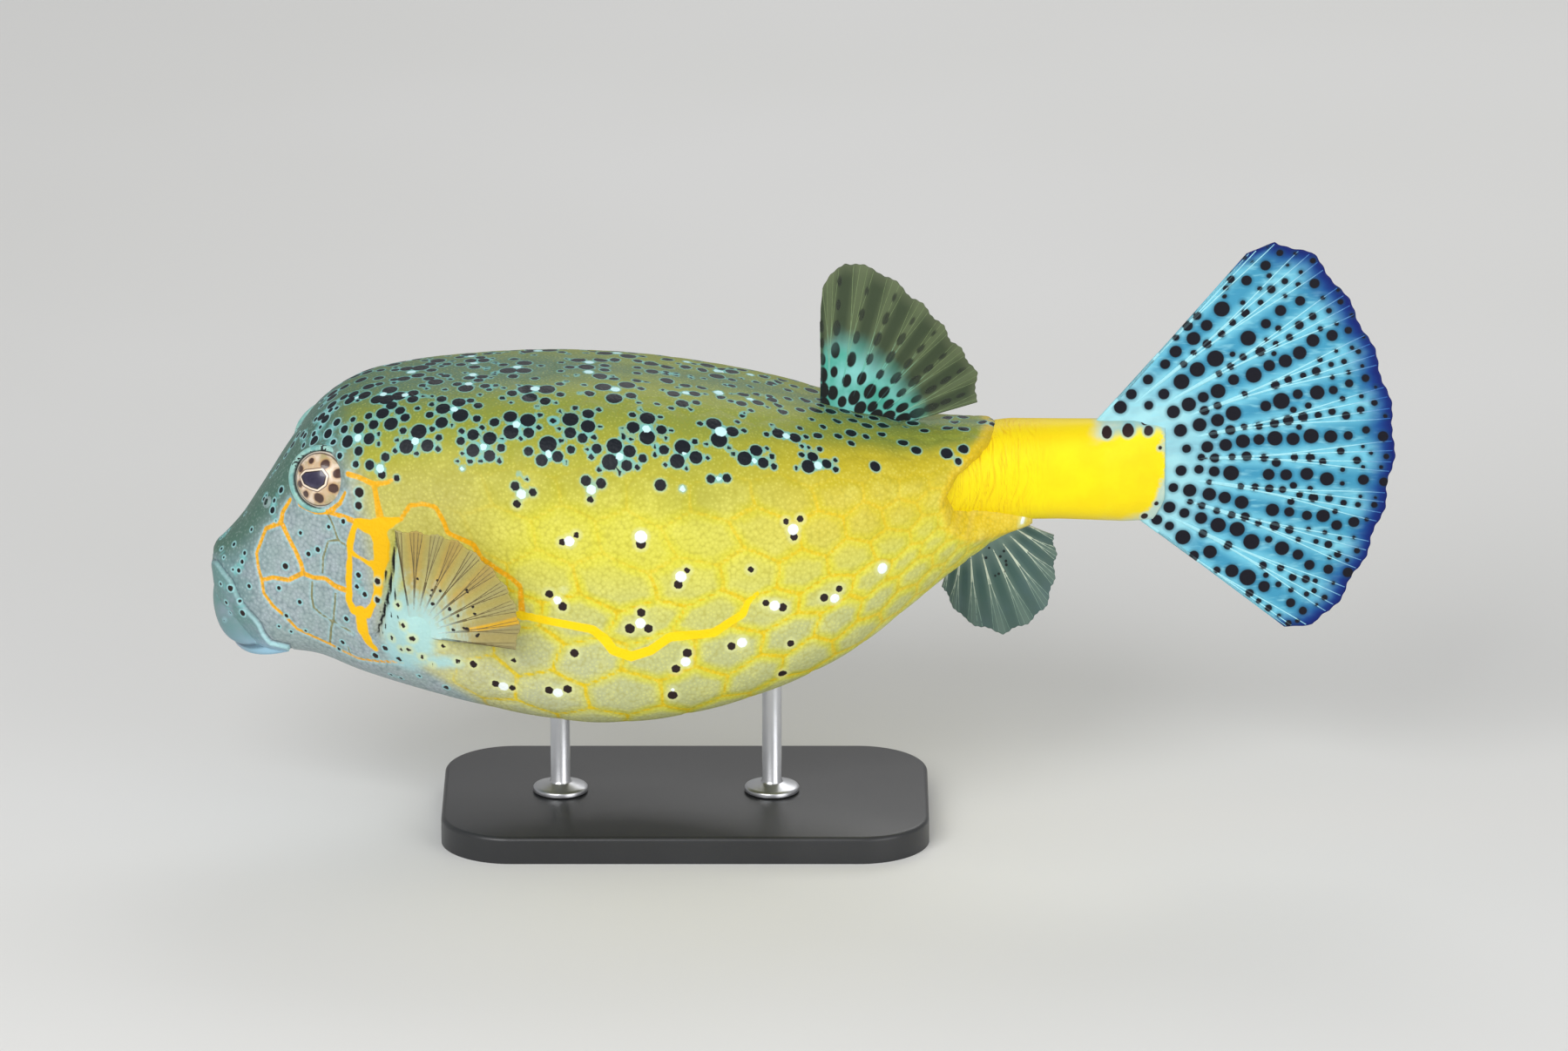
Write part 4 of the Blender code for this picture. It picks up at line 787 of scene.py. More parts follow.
def skinMaterial():
    c = skinColours
    paint = Paint("boxfishSkin", Specular_IOR_Level=0.30, Coat_Roughness=0.30, IOR=1.40)
    fold, head, seamShow = paint.read("fold", "headShare", "seamShow")
    fine, mottle, speck, blotch = paint.noises(1500.0, 150.0, 4.0)
    soft = paint.grain(34.0, 2.0)
    pebble = paint.node("ShaderNodeTexVoronoi", {}, {"Vector": paint.place(), "Scale": 1050.0})
    f = fold + (soft - 0.5) * 0.05
    place = paint.axes()[0]
    steel = f - place.fall(-95.0, -35.0) * 0.045
    paint.lay(steel.rise(-0.02, 0.06), c["backEdge"], over=c["back"])
    paint.lay(f.rise(0.09, 0.155), c["ridge"])
    paint.lay(f.rise(0.145, 0.20), c["flank"])
    paint.lay(f.rise(0.27, 0.36), c["lowFlank"])
    seam = paint.read("plateSeam") + speck * 0.5
    line = seam.fall(0.1, 0.75) * seamShow
    plated = (seam + blotch * 2.0).rise(0.6, 2.8) * seamShow
    paint.lay(plated * (0.34 + f.rise(0.23, 0.33) * 0.52), c["plate"])
    paint.lay(f.rise(0.41, 0.47), c["belly"])
    dull = place.fall(-92.0, -66.0) * f.rise(0.13, 0.18)
    paint.lay(dull * 0.6, c["shoulder"])
    pallid = place.fall(-76.0, -30.0) * f.rise(0.27, 0.34) * (1 - line)
    paint.lay(pallid * 0.55, c["pallid"])
    warm = place.rise(-30.0, 20.0) * f.rise(0.08, 0.13) * f.fall(0.19, 0.26)
    paint.lay(warm * 0.6, c["warm"])
    paint.lay((paint.read("margin") + speck * 0.8).rise(-2.0, -0.2) * 0.6, c["margin"])
    lowered = f.rise(0.10, 0.18)
    paint.lay(mottle.rise(0.45, 0.75) * lowered * 0.25, c["grainLight"])
    paint.lay(line, c["seamLine"])
    # the head
    cheek = paint.mix(place.rise(-147.0, -130.0), c["snout"], c["cheek"])
    cheek = paint.mix(mottle.rise(0.4, 0.7) * 0.45, cheek, rgb(172, 178, 190))
    cheek = paint.mix(f.fall(0.09, 0.19), cheek, c["forehead"])
    headSeam = paint.read("seam") + speck * 0.22
    thread = paint.read("thread") + speck * 0.16
    cheek = paint.mix(headSeam.least(thread + 0.15).fall(0.2, 1.2) * 0.7, cheek, c["cheekEdge"])
    paint.lay(head, cheek)
    paint.lay(thread.fall(-0.02, 0.24) * 0.85, c["thread"])
    paint.lay(headSeam.fall(-0.02, 0.34), c["orange"])
    mouth = paint.read("mouth") + speck * 0.14
    lips = mouth.rise(-0.1, 0.1)
    paint.lay(lips, lipTint(paint, mottle, mouth))
    # painted shade in the groove that runs just outside the lips
    paint.lay((mouth + 0.2).size().fall(0.05, 0.3) * 0.55, rgb(72, 92, 104))
    # grain of small scutes, painted lighter on their raised middles and darker in the sunken gaps between them, as
    # painted light and shade
    light = pebble.fall(0.05, 0.45)
    shadow = pebble.rise(0.45, 0.95)
    strength = (0.20 + lowered * 0.10 + blotch * 0.2) * (1 - lips * 0.6)
    paint.lay(light * strength, paint.mix(head, c["grainLight"], rgb(206, 222, 224)))
    paint.lay(shadow * strength * 1.2, paint.mix(head, c["grainShade"], rgb(70, 96, 100)))
    zigzag = paint.read("zigzag") + speck * 0.25
    paint.lay(zigzag.fall(-0.05, 0.35), c["zigzag"])
    pale = paint.read("pale").least(paint.read("pad") - 6.5) + speck * 0.9 + blotch * 3.0
    paint.lay(pale.fall(-1.2, 2.0) * 0.85, c["cyan"])
    paint.lay((paint.read("mark") + speck * 0.2).fall(-0.06, 0.2), c["slit"])
    gold = paint.read("gold") + speck * 0.3 + (mottle - 0.45) * 1.8
    paint.lay(gold.fall(-0.05, 0.4), c["gold"])
    # spots, with the fine pale lines round and between them
    dark = (paint.read("dark0").least(paint.read("dark1"))).least(paint.read("dark2"))
    dark = dark + speck * 0.12
    white = paint.read("white") + speck * 0.12
    second = paint.read("second") + speck * 0.3
    onBack = f.fall(0.14, 0.19)
    cool = onBack.most(head)
    ring = dark.least(white)
    paint.lay(ring.fall(0.1, 1.3) * (1 - cool) * 0.6, c["halo"])
    threads = (ring.fall(0.1, 0.6) * 0.66).most(second.fall(0.6, 1.05 + head * 0.8) * 0.86)
    paint.lay(threads * cool, c["outline"])
    paint.lay(ring.fall(0.1, 0.7) * head * 0.6, c["cyan"])
    paint.lay(dark.fall(-0.08, 0.12), paint.mix(onBack, c["dark"], c["darkBlue"]))
    paint.lay(white.fall(-0.12, 0.12), paint.mix(onBack, c["white"], c["blueWhite"]))
    # the gill slit's deep groove, painted near-black as painted shade
    slit = paint.read("slit")
    paint.lay(slit.fall(-0.05, 0.3), c["slit"])
    relief = fine * 0.35 + mottle * 0.4 + pebble * -0.5
    return paint.feed(0.50 + speck * 0.24, relief, 0.20, Coat_Weight=0.07 - speck * 0.06)


print("stage: body skin")
skin, skinPiece = buildSkin()
finish(skinPiece, skinMaterial(), "shell_plates", "head", "carapace")


# The tail stalk
stalk = {
    "sections": [  # mm: place, middle, half height, half width
        (30.0, 58.0, 9.6, 18.6), (35.0, 58.3, 10.8, 18.0), (40.0, 58.8, 11.6, 15.2), (46.0, 59.2, 12.1, 12.2),
        (52.0, 59.5, 12.8, 10.6), (65.0, 59.5, 12.8, 9.4), (76.0, 59.3, 13.1, 8.2), (84.0, 59.3, 13.6, 5.4),
        (91.5, 59.3, 13.4, 1.9),
    ],
    "squareness": 2.3, "rings": 260, "spokes": 150, "smoothing": 21,  # rings
    "wrinkleDepth": 0.16, "wrinkleStep": 0.95, "wrinkled": (46.0, 66.0),
    "arcCentre": (65.6, 61.6), "arcFrom": 66.0, "arcRadius": 27.6,
    "spots": [  # mm: place, height from the middle, radius
        (76.6, 11.2, 1.3), (82.0, 11.4, 1.5), (87.2, 11.0, 1.2), (86.2, 13.2, 0.9), (90.2, 6.4, 0.5),
        (89.4, -8.4, 0.6), (86.4, -11.9, 0.9),
    ],
}


def buildStalk():
    table = np.array(stalk["sections"])
    places = np.linspace(table[0, 0], table[-1, 0], stalk["rings"])
    kernel = np.hanning(stalk["smoothing"])
    kernel /= kernel.sum()
    padding = stalk["smoothing"] // 2
    columns = [np.pad(np.interp(places, table[:, 0], table[:, i]), padding, mode="edge") for i in (1, 2, 3)]
    middle, halfHeight, halfWidth = (np.convolve(column, kernel, "valid") for column in columns)
    angle = np.linspace(0, 2 * math.pi, stalk["spokes"], endpoint=False)
    power = 2 / stalk["squareness"]
    across = -np.sign(np.sin(angle)) * np.abs(np.sin(angle)) ** power
    tall = np.sign(np.cos(angle)) * np.abs(np.cos(angle)) ** power
    wander = np.sin(angle * 3 + 1.0) * 1.0 + np.sin(angle * 7) * 0.35
    phase = places[:, None] + wander + 0.5 * np.sin(places[:, None] * 0.9 + angle * 2)
    phase /= stalk["wrinkleStep"]
    folds = np.abs(np.sin(math.pi * phase + 1.1 * np.sin(phase * 1.7)))
    uneven = np.sin(places[:, None] * 1.3 + angle * 4) * np.sin(places[:, None] * 0.6 - angle * 3)
    depth = stalk["wrinkleDepth"] * (1 - fade(places, *stalk["wrinkled"]))[:, None] * (0.5 + 0.5 * uneven)
    relief = -depth * (1 - folds) ** 3
    y = across * (halfWidth[:, None] + relief)
    z = middle[:, None] + tall * (halfHeight[:, None] + relief)
    centreX, centreZ = stalk["arcCentre"]
    bend = fade(places, stalk["arcFrom"], table[-1, 0])[:, None]
    arc = centreX + np.sqrt(np.maximum(stalk["arcRadius"] ** 2 - (z - centreZ) ** 2, 1.0))
    x = places[:, None] - bend * np.maximum(table[-1, 0] - arc, 0)
    height = z - middle[:, None]
    return tubePiece("stalkSkin", placed(x, y, z), {
        "crease": -relief / stalk["wrinkleDepth"], "toArc": np.hypot(x - centreX, z - centreZ), "height": height,
        "dark": spotEdge(x, height, stalk["spots"]), "along": x,
    })


def stalkMaterial():
    paint = Paint("stalkSkin", Specular_IOR_Level=0.32, Coat_Roughness=0.3, IOR=1.40)
    fine, mottle, speck, blotch = paint.noises(1300.0, 110.0, 4.0)
    paint.lay(mottle.rise(0.3, 0.7) * 0.5, rgb(250, 212, 2), over=rgb(253, 232, 6))
    height, along = paint.read("height", "along")
    # painted shade: the top of the stalk's front part and its underside are painted a darker yellow
    paint.lay(height.rise(6.0, 12.0) * along.fall(72.0, 84.0) * 0.45, rgb(226, 196, 20))
    paint.lay(height.fall(-14.0, -8.0) * 0.35, rgb(222, 200, 50))
    # painted shade in the troughs of the wrinkles, deepest where they sink furthest
    paint.lay(paint.read("crease") * 0.8, rgb(206, 150, 4))
    edge = paint.read("toArc") + blotch * 8.0 + speck * 2.4
    pale = paint.mix(mottle.rise(0.35, 0.65), rgb(136, 190, 200), rgb(190, 216, 206))
    wedge = (height + blotch * 7).rise(8.5, 12.0) * (along + blotch * 8).rise(71.0, 78.0)
    below = (height + blotch * 6).fall(-13.5, -9.5) * along.rise(70.0, 84.0) * 0.8
    paint.lay(wedge.most(below) * 0.9, pale)
    paint.lay(edge.rise(24.8, 26.6) * along.rise(72.0, 76.0) * 0.9, pale)
    dark = paint.read("dark") + speck * 0.2
    paint.lay(dark.fall(0.1, 0.9) * 0.6, pale)
    paint.lay(dark.fall(-0.1, 0.14), rgb(44, 28, 28))
    folds = paint.grain(260.0, 2.0, paint.stretched(7.0, 1.0, 0.6))
    near = along.fall(50.0, 68.0)
    paint.lay(folds.rise(0.52, 0.72) * near * 0.35, rgb(222, 168, 2))
    return paint.feed(0.46 + speck * 0.2, fine * 0.35 + folds * near * 1.2 + mottle * 0.3, 0.18)


print("stage: tail stalk")
finish(buildStalk(), stalkMaterial(), "stalk_skin", "tail_stalk")


# Lips
lipSquareness = 2.7
lipSpots = [(290, 716, 1.7), (252, 683, 1.4), (258, 712, 1.4), (296, 737, 1.3)]  # beside those of the head
upperLip = {
    "corner": -0.1340, "reach": 0.0127, "halfSpan": 0.0099, "frontHeight": 0.0238,
    "cornerHeight": 0.0178, "halfHeight": 0.0076, "halfThickness": 0.0031, "lean": 0.12,
}
lowerLip = {
    "corner": -0.1304, "reach": 0.0119, "halfSpan": 0.0097, "frontHeight": 0.0156,
    "cornerHeight": 0.0146, "halfHeight": 0.0032, "halfThickness": 0.0029, "lean": 0.30,
}


def lipShape(size, stations=110, sides=48):
    turn = math.pi * (np.linspace(0, 1, stations) - 0.5)
    fullness = np.cos(turn * 0.97) ** 0.5
    rise = size["frontHeight"] - size["cornerHeight"]
    power = 2 / lipSquareness
    middle = np.stack([
        size["corner"] - size["reach"] * np.cos(turn) ** power,
        size["halfSpan"] * np.sign(turn) * np.abs(np.sin(turn)) ** power,
        size["cornerHeight"] + rise * np.cos(turn) + lift,
    ], axis=1)
    outward = np.stack([-np.cos(turn), np.sin(turn), 0 * turn], axis=1)
    upright = np.stack([-size["lean"] * np.cos(turn), 0 * turn, 1 + 0 * turn], axis=1)
    upright /= np.linalg.norm(upright, axis=1, keepdims=True)
    angle = np.linspace(0, 2 * math.pi, sides, endpoint=False)
    thick = size["halfThickness"] * fullness[:, None] * np.cos(angle)
    tall = size["halfHeight"] * fullness[:, None] * np.sin(angle)
    grid = middle[:, None, :] + outward[:, None, :] * thick[..., None] + upright[:, None, :] * tall[..., None]
    return capped(grid)


def buildLip(name, shape, other):
    points, faces = shape
    mirrored = leftSide(points)
    pixel = picture["pixel"] / mm
    dark = spotEdge(*photoPlace(mirrored), headSpots + lipSpots, farOff / pixel) * pixel
    near = nearestOf(other)
    parting = np.array([near.find(point)[2] for point in points]) / mm  # to the other lip
    return meshPiece(name, points, faces, {"dark": dark, "mouth": mouthDepth(mirrored), "parting": parting})


def lipMaterial():
    paint = Paint("lipSkin", Specular_IOR_Level=0.36, Coat_Roughness=0.22, IOR=1.40)
    fine, mottle, speck, _ = paint.noises(1400.0, 150.0)
    mouth = paint.read("mouth") + speck * 0.14
    paint.colour = lipTint(paint, mottle, mouth)
    parting = paint.read("parting") + speck * 0.2
    # painted shade where the two lips meet
    paint.lay(parting.fall(0.3, 1.0) * 0.7, rgb(58, 82, 98))
    dark = paint.read("dark") + speck * 0.12
    paint.lay(dark.fall(0.1, 0.8) * 0.4, rgb(160, 206, 216))
    paint.lay(dark.fall(-0.08, 0.14), rgb(34, 40, 48))
    return paint.feed(0.42 + speck * 0.15, fine * 0.4 + mottle * 0.6)


print("stage: lips")
lipPaint = lipMaterial()
upper, lower = lipShape(upperLip), lipShape(lowerLip)
finish(buildLip("upperLip", upper, lower[0]), lipPaint, "lip_skin", "upper_lip")
finish(buildLip("lowerLip", lower, upper[0]), lipPaint, "lip_skin", "lower_lip")


# Eyes
eye = {
    "radius": 7.9, "depth": 5.4, "rings": 110, "spokes": 160,
    "pupil": [
        (-4.3, 0.7), (-3.1, 1.6), (1.4, 2.1), (2.4, 0.9), (2.0, -0.9), (0.2, -2.1), (-1.5, -1.7), (-3.4, -0.9),
    ],
    "blotches": [
        (-1.9, 4.7, 0.8), (2.1, 3.9, 1.2), (-5.0, 2.6, 0.9), (5.4, 1.6, 1.2), (4.3, -2.1, 1.2), (0.3, -4.6, 1.3),
        (-5.2, -1.2, 0.9), (-3.4, -3.7, 0.9),
    ],
    "pupilRounding": 0.15, "rimRadii": (8.5, 7.8), "rimTube": (0.95, 0.85), "rimOver": 1.75, "rimDip": 0.35,
    "rimSwell": (0.14, 0.05),
}


def buildEye(name, node, side):
    middle, forward, up, look = eyeFrame(node, side)
    ring = np.linspace(0.004, math.pi - 0.004, eye["rings"])
    spoke = np.linspace(0, 2 * math.pi, eye["spokes"], endpoint=False)
    x = eye["radius"] * np.sin(ring)[:, None] * np.cos(spoke)
    y = eye["radius"] * np.sin(ring)[:, None] * np.sin(spoke)
    out = eye["depth"] * np.cos(ring)[:, None] * np.ones_like(spoke)
    grid = middle + (x[..., None] * forward + y[..., None] * up + out[..., None] * look) * mm
    return tubePiece(name, grid, {
        "pupil": -outlineDepth(-x, y, eye["pupil"]) - eye["pupilRounding"],
        "blotch": spotEdge(-x, y, eye["blotches"]), "rim": np.hypot(x, y),
    })


def buildEyeRim(name, node, side, segments=140, sides=28):
    middle, forward, up, look = eyeFrame(node, side)
    turn = np.linspace(0, 2 * math.pi, segments, endpoint=False)
    angle = np.linspace(0, 2 * math.pi, sides, endpoint=False)
    wide, tall = eye["rimRadii"]
    width, height = eye["rimTube"]
    broad, fine = eye["rimSwell"]
    swell = 1 + broad * np.cos(turn * 2) + fine * np.sin(turn * 5)
    reachX = (wide + width * swell[:, None] * np.cos(angle)) * np.cos(turn)[:, None]
    reachY = (tall + width * swell[:, None] * np.cos(angle)) * np.sin(turn)[:, None]
    out = eye["rimOver"] + height * np.sin(angle) - eye["rimDip"] * np.cos(turn * 2)[:, None]
    grid = middle + (reachX[..., None] * forward + reachY[..., None] * up + out[..., None] * look) * mm
    faces = tubeFaces(segments, sides, closed=True)
    across = np.broadcast_to(np.cos(angle), reachX.shape)
    lower = np.broadcast_to(np.sin(turn)[:, None], reachX.shape)
    return meshPiece(name, grid.reshape(-1, 3), faces, {"across": across, "lower": lower})


def eyeMaterial():
    paint = Paint("eyeball", Specular_IOR_Level=0.5, Coat_Roughness=0.03, Coat_IOR=1.38)
    _, mottle, speck, _ = paint.noises(900.0, 260.0, 4.0)
    pupil, blotch, rim = paint.read("pupil", "blotch", "rim")
    paint.lay(mottle.rise(0.35, 0.65), rgb(208, 180, 144), over=rgb(240, 222, 202))
    paint.lay(rim.rise(4.0, 6.0) * mottle.rise(0.45, 0.65) * 0.6, rgb(164, 160, 104))
    paint.lay((blotch + speck * 0.5).fall(0.2, 0.7) * 0.5, rgb(196, 150, 92))
    paint.lay((blotch + speck * 0.5).fall(-0.2, 0.25), rgb(70, 40, 30))
    paint.lay((rim + speck * 0.3).rise(6.3, 6.6), rgb(96, 70, 56))
    paint.lay((rim + speck * 0.2).rise(6.6, 6.9), rgb(232, 220, 204))
    ring = pupil + speck * 0.12
    paint.lay(ring.fall(0.75, 0.95), rgb(84, 50, 36))
    paint.lay(ring.fall(0.58, 0.72), rgb(246, 228, 204))
    paint.lay(ring.fall(0.12, 0.24), rgb(38, 22, 26))
    deep = paint.mix(mottle.rise(0.3, 0.7), rgb(36, 32, 60), rgb(64, 58, 86))
    paint.lay(ring.fall(-0.25, 0.0), deep)
    return paint.feed(0.3 + speck * 0.1, Coat_Weight=0.9 + speck * 0.05)


def eyeRimMaterial():
    paint = Paint("eyeRim", Specular_IOR_Level=0.36, Coat_Roughness=0.2, IOR=1.40)
    grain, mottle, speck, _ = paint.noises(1200.0, 300.0)
    across, lower = paint.read("across", "lower")
    paint.lay(mottle.rise(0.3, 0.7), rgb(170, 212, 200), over=rgb(118, 176, 172))
    paint.lay((across + speck * 0.6).fall(-0.75, -0.2), rgb(66, 78, 76))
    marks = (mottle + speck * 0.3).rise(0.58, 0.63) * lower.rise(-0.4, 0.5)
    paint.lay(marks, rgb(36, 40, 42))
    return paint.feed(0.42 + speck * 0.15, grain * 0.4 + mottle * 0.6)


print("stage: eyes")
eyePaint, rimPaint = eyeMaterial(), eyeRimMaterial()
for side, label in ((-1, "left"), (1, "right")):
    finish(buildEye(f"{label}Eye", f"eye_{label}", side), eyePaint, "eye", f"eye_{label}")
    finish(buildEyeRim(f"{label}EyeRim", f"eye_{label}", side), rimPaint, "head_skin")


# Nostrils
nostril = {"place": (310, 577), "outer": 1.5, "inner": 0.8, "height": 0.55, "spokes": 40}


def buildNostril(name, side):
    point = skin.photoPoint(*nostril["place"])
    index = int(np.argmin(np.linalg.norm(skin.flat - point, axis=1)))
    normal = skin.normals.reshape(-1, 3)[index].copy()
    if side > 0:
        point = point * [1, -1, 1]
        normal = normal * [1, -1, 1]
    turn = Vector(normal).to_track_quat("Z", "Y").to_matrix()
    outer, inner, height = nostril["outer"], nostril["inner"], nostril["height"]
    profile = [(outer * 1.35, -0.5), (outer * 1.1, -0.1), (outer, 0.2), (outer * 0.94, height * 0.75),
               (outer * 0.84, height), (inner * 1.3, height * 1.08), (inner * 1.1, height * 0.95),
               (inner, height * 0.6), (inner * 0.9, 0.0), (inner * 0.75, -0.4), (inner * 0.4, -0.7)]
    spokes = np.linspace(0, 2 * math.pi, nostril["spokes"], endpoint=False)
    grid = []
    for reach, up in profile:
        grid.append([turn @ Vector((reach * math.cos(a), reach * math.sin(a), up)) * mm for a in spokes])
    reach = np.repeat([reach for reach, _ in profile], nostril["spokes"])
    return tubePiece(name, np.array(grid) + point, {"reach": reach}, [outer, 0.0])


def nostrilMaterial():
    paint = Paint("nostrilSkin", Specular_IOR_Level=0.5, IOR=1.42)
    speck = paint.grain(1200.0, 3.0) - 0.5
    reach = paint.read("reach") + speck * 0.2
    # the inside of the nostril, within its inner lip, is painted near-black as painted shade
    paint.lay(reach.fall(0.7, 1.0), rgb(20, 24, 26), over=rgb(136, 160, 158))
    return paint.feed(0.42 + speck * 0.15)


nostrilPaint = nostrilMaterial()
for side, label in ((-1, "left"), (1, "right")):
    finish(buildNostril(f"{label}Nostril", side), nostrilPaint, "head_skin")


# Fins: a closed membrane, with rays made by Geometry Nodes from their middle lines. In mm and degrees.
# half: the membrane's half thickness at the edge, what the root adds, its swelling and where that ends.
# taper: the part of a half turn whose sine shapes that swelling from the first ray to the last.
tailFin = {
    "origin": (65.6, 61.6), "angles": (50.0, -38.0), "rays": 10, "notch": 1.0, "length": 1.0,
    "reach": [
        (0, 71.3), (0.03, 78.8), (0.10, 83.1), (0.5, 84.8), (0.75, 82.0), (0.88, 80.6), (0.96, 78.6), (1, 72.0),
    ],
    "root": 27.0, "rise": 12.0, "sink": 4.0, "wave": 1.6, "half": (0.16, 0.08, 2.0, 0.28), "taper": (0.1, 0.8),
    "grid": (270, 120), "thickness": (0.55, 0.30), "forks": (0.16, 0.42), "steps": 60,
    "rayColours": (rgb(164, 226, 238), rgb(20, 90, 170)), "rayFade": (72.0, 84.0), "spotGap": 0.55,
    "spotRows": [  # radii, step, start and end: in the membranes' middles, on the rays, and beside them
        ((1.15, 1.9), 0.078, 0.10, 0.985), ((0.7, 1.2), 0.064, 0.16, 0.99), ((0.6, 0.85), 0.07, 0.5, 0.99),
    ],
}
upright = {
    "rays": 9, "notch": 0.8, "length": 1.0, "wave": 2.0, "half": (0.15, 0.06, 1.0, 0.30), "taper": (0.5, 0.0),
    "grid": (192, 90), "thickness": (0.36, 0.24), "forks": (0.22, 0.50), "steps": 40, "rayFade": (9.0, 24.0),
}
dorsalFin = {
    **upright, "origin": (11.7, 75.4), "base": (4.5, 19.5), "baseHeight": (73.0, 70.0), "angles": (112.0, 2.0),
    "reach": [
        (0, 18.9), (0.09, 32.8), (0.18, 38.5), (0.3, 37.3), (0.45, 34.3), (0.7, 32.0), (0.88, 33.6), (1, 32.3),
    ],
    "rayColours": (rgb(110, 190, 176), rgb(116, 132, 92)),
    "spotColumns": 9, "spotStart": 0.13, "spotStagger": 0.05, "spotEnd": 0.97, "spotStep": (0.132, 0.03),
    "spotRadii": (0.85, 1.25), "spotTaper": (1.36, 0.36), "spotLength": (1.1, 2.8),  # from the root to the edge
}
analFin = {
    **upright, "origin": (46.0, 43.7), "base": (38.5, 53.5), "baseHeight": (39.4, 45.9), "angles": (-124.0, -8.0),
    "reach": [(0, 19.3), (0.2, 26.0), (0.38, 28.8), (0.6, 26.4), (0.8, 21.3), (1, 17.8)],
    "spots": 9, "spotShares": (0.2, 0.6), "spotOuts": (0.15, 0.55), "spotRadii": (0.28, 0.42),
    "rayColours": (rgb(214, 224, 204), rgb(118, 142, 132)),
}
sideFin = {
    "origin": (-98.1, 25.8), "angles": (98.0, -8.0), "rays": 10, "notch": 0.6, "length": 27.3,
    "reach": [(0, 0.97), (0.2, 0.96), (0.45, 0.96), (0.7, 1.0), (0.9, 1.01), (1, 0.97)],
    "spots": 16, "spotShares": (0.1, 0.95), "spotOuts": (0.32, 0.68), "spotRadii": (0.30, 0.55),
    "root": 1.5, "sink": 3.0, "slope": math.radians(18.0), "spread": 0.95, "cup": 0.25,
    "wave": 0.9, "half": (0.15, 0.04, 1.3, 0.30), "taper": (0.5, 0.0), "grid": (180, 90),
    "thickness": (0.38, 0.24), "forks": (0.24, 0.50), "steps": 40, "rayFade": (9.0, 20.0),
    "rayColours": (rgb(200, 228, 222), rgb(118, 104, 62)),
}


def between(ends, share):
    return ends[0] + (ends[1] - ends[0]) * share


def fanned(fin, share):  # the angle and length of a fin, whose edge draws in between the rays
    across = share * (fin["rays"] - 1) % 1.0
    notch = fin["notch"] * (np.sin(math.pi * across) ** 2 + 0.3 * np.sin(4 * math.pi * across) ** 2)
    reach = np.interp(share, *zip(*fin["reach"]))
    return np.radians(between(fin["angles"], share)), fin["length"] * reach - notch


def finSheet(name, fin, surface, darkAt):
    columns, rows = fin["grid"]
    share, out = np.meshgrid(np.linspace(0, 1, columns + 1), np.linspace(0, 1, rows + 1), indexing="ij")
    middle = surface(share, out)
    normal = np.cross(np.gradient(middle, axis=0), np.gradient(middle, axis=1))
    normal /= np.maximum(np.linalg.norm(normal, axis=2, keepdims=True), 1e-12)
    edge, growth, swell, swollenTo = fin["half"]
    first, span = fin["taper"]
    root = (1 - np.minimum(out / swollenTo, 1.0)) ** 2 * np.sin(math.pi * (first + span * share))
    thick = ((edge + growth * (1 - out) + swell * root) * mm)[..., None]
    front = (middle + normal * thick).reshape(-1, 3)
    back = (middle - normal * thick).reshape(-1, 3)
    count, wide = len(front), rows + 1
    column, row = np.meshgrid(np.arange(columns), np.arange(rows), indexing="ij")
    a = (column * wide + row).ravel()
    quads = np.stack([a, a + wide, a + wide + 1, a + 1], axis=1)
    faces = quads.tolist() + (quads[:, ::-1] + count).tolist()
    rim = [c * wide for c in range(columns + 1)]
    rim += [columns * wide + r for r in range(1, rows + 1)]
    rim += [c * wide + rows for c in range(columns - 1, -1, -1)]
    rim += range(rows - 1, 0, -1)
    for here, following in zip(rim, rim[1:] + rim[:1]):
        faces.append([following, here, here + count, following + count])
    across = share * (fin["rays"] - 1) % 1.0
    values = {"dark": darkAt(share, out, middle), "out": out, "share": share, "across": np.abs(across - 0.5) * 2}
    attributes = {key: np.tile(np.ravel(value), 2) for key, value in values.items()}
    return meshPiece(name, np.vstack([front, back]), faces, attributes)


def rayLines(fin, surface):  # points, edges and thickness of the rays, which fork twice
    points, edges, thick = [], [], []
    gap = 1 / (fin["rays"] - 1)
    firstFork, secondFork = fin["forks"]

    def draw(share, start, end, wide, spread=0.0, splay=0.0):
        out = np.linspace(start, end, max(6, round(fin["steps"] * (end - start))))
        fan = spread * fade(out, firstFork - 0.02, 1.05) + splay * fade(out, secondFork, 1.0)
        base = len(points)
        points.extend(surface(np.clip(share + fan, 0.004, 0.996), out).tolist())
        edges.extend((base + i, base + i + 1) for i in range(len(out) - 1))
        thick.extend(between(fin["thickness"], out) * mm * wide)

    for ray in range(fin["rays"]):
        draw(ray * gap, 0.0, firstFork, 1.0)
        for side in (-0.20 * gap, 0.20 * gap):
            draw(ray * gap, firstFork, secondFork, 0.85, side)
            for twig in (-0.09 * gap, 0.09 * gap):
                draw(ray * gap, secondFork, 0.992, 0.7, side, twig)
    return points, edges, thick


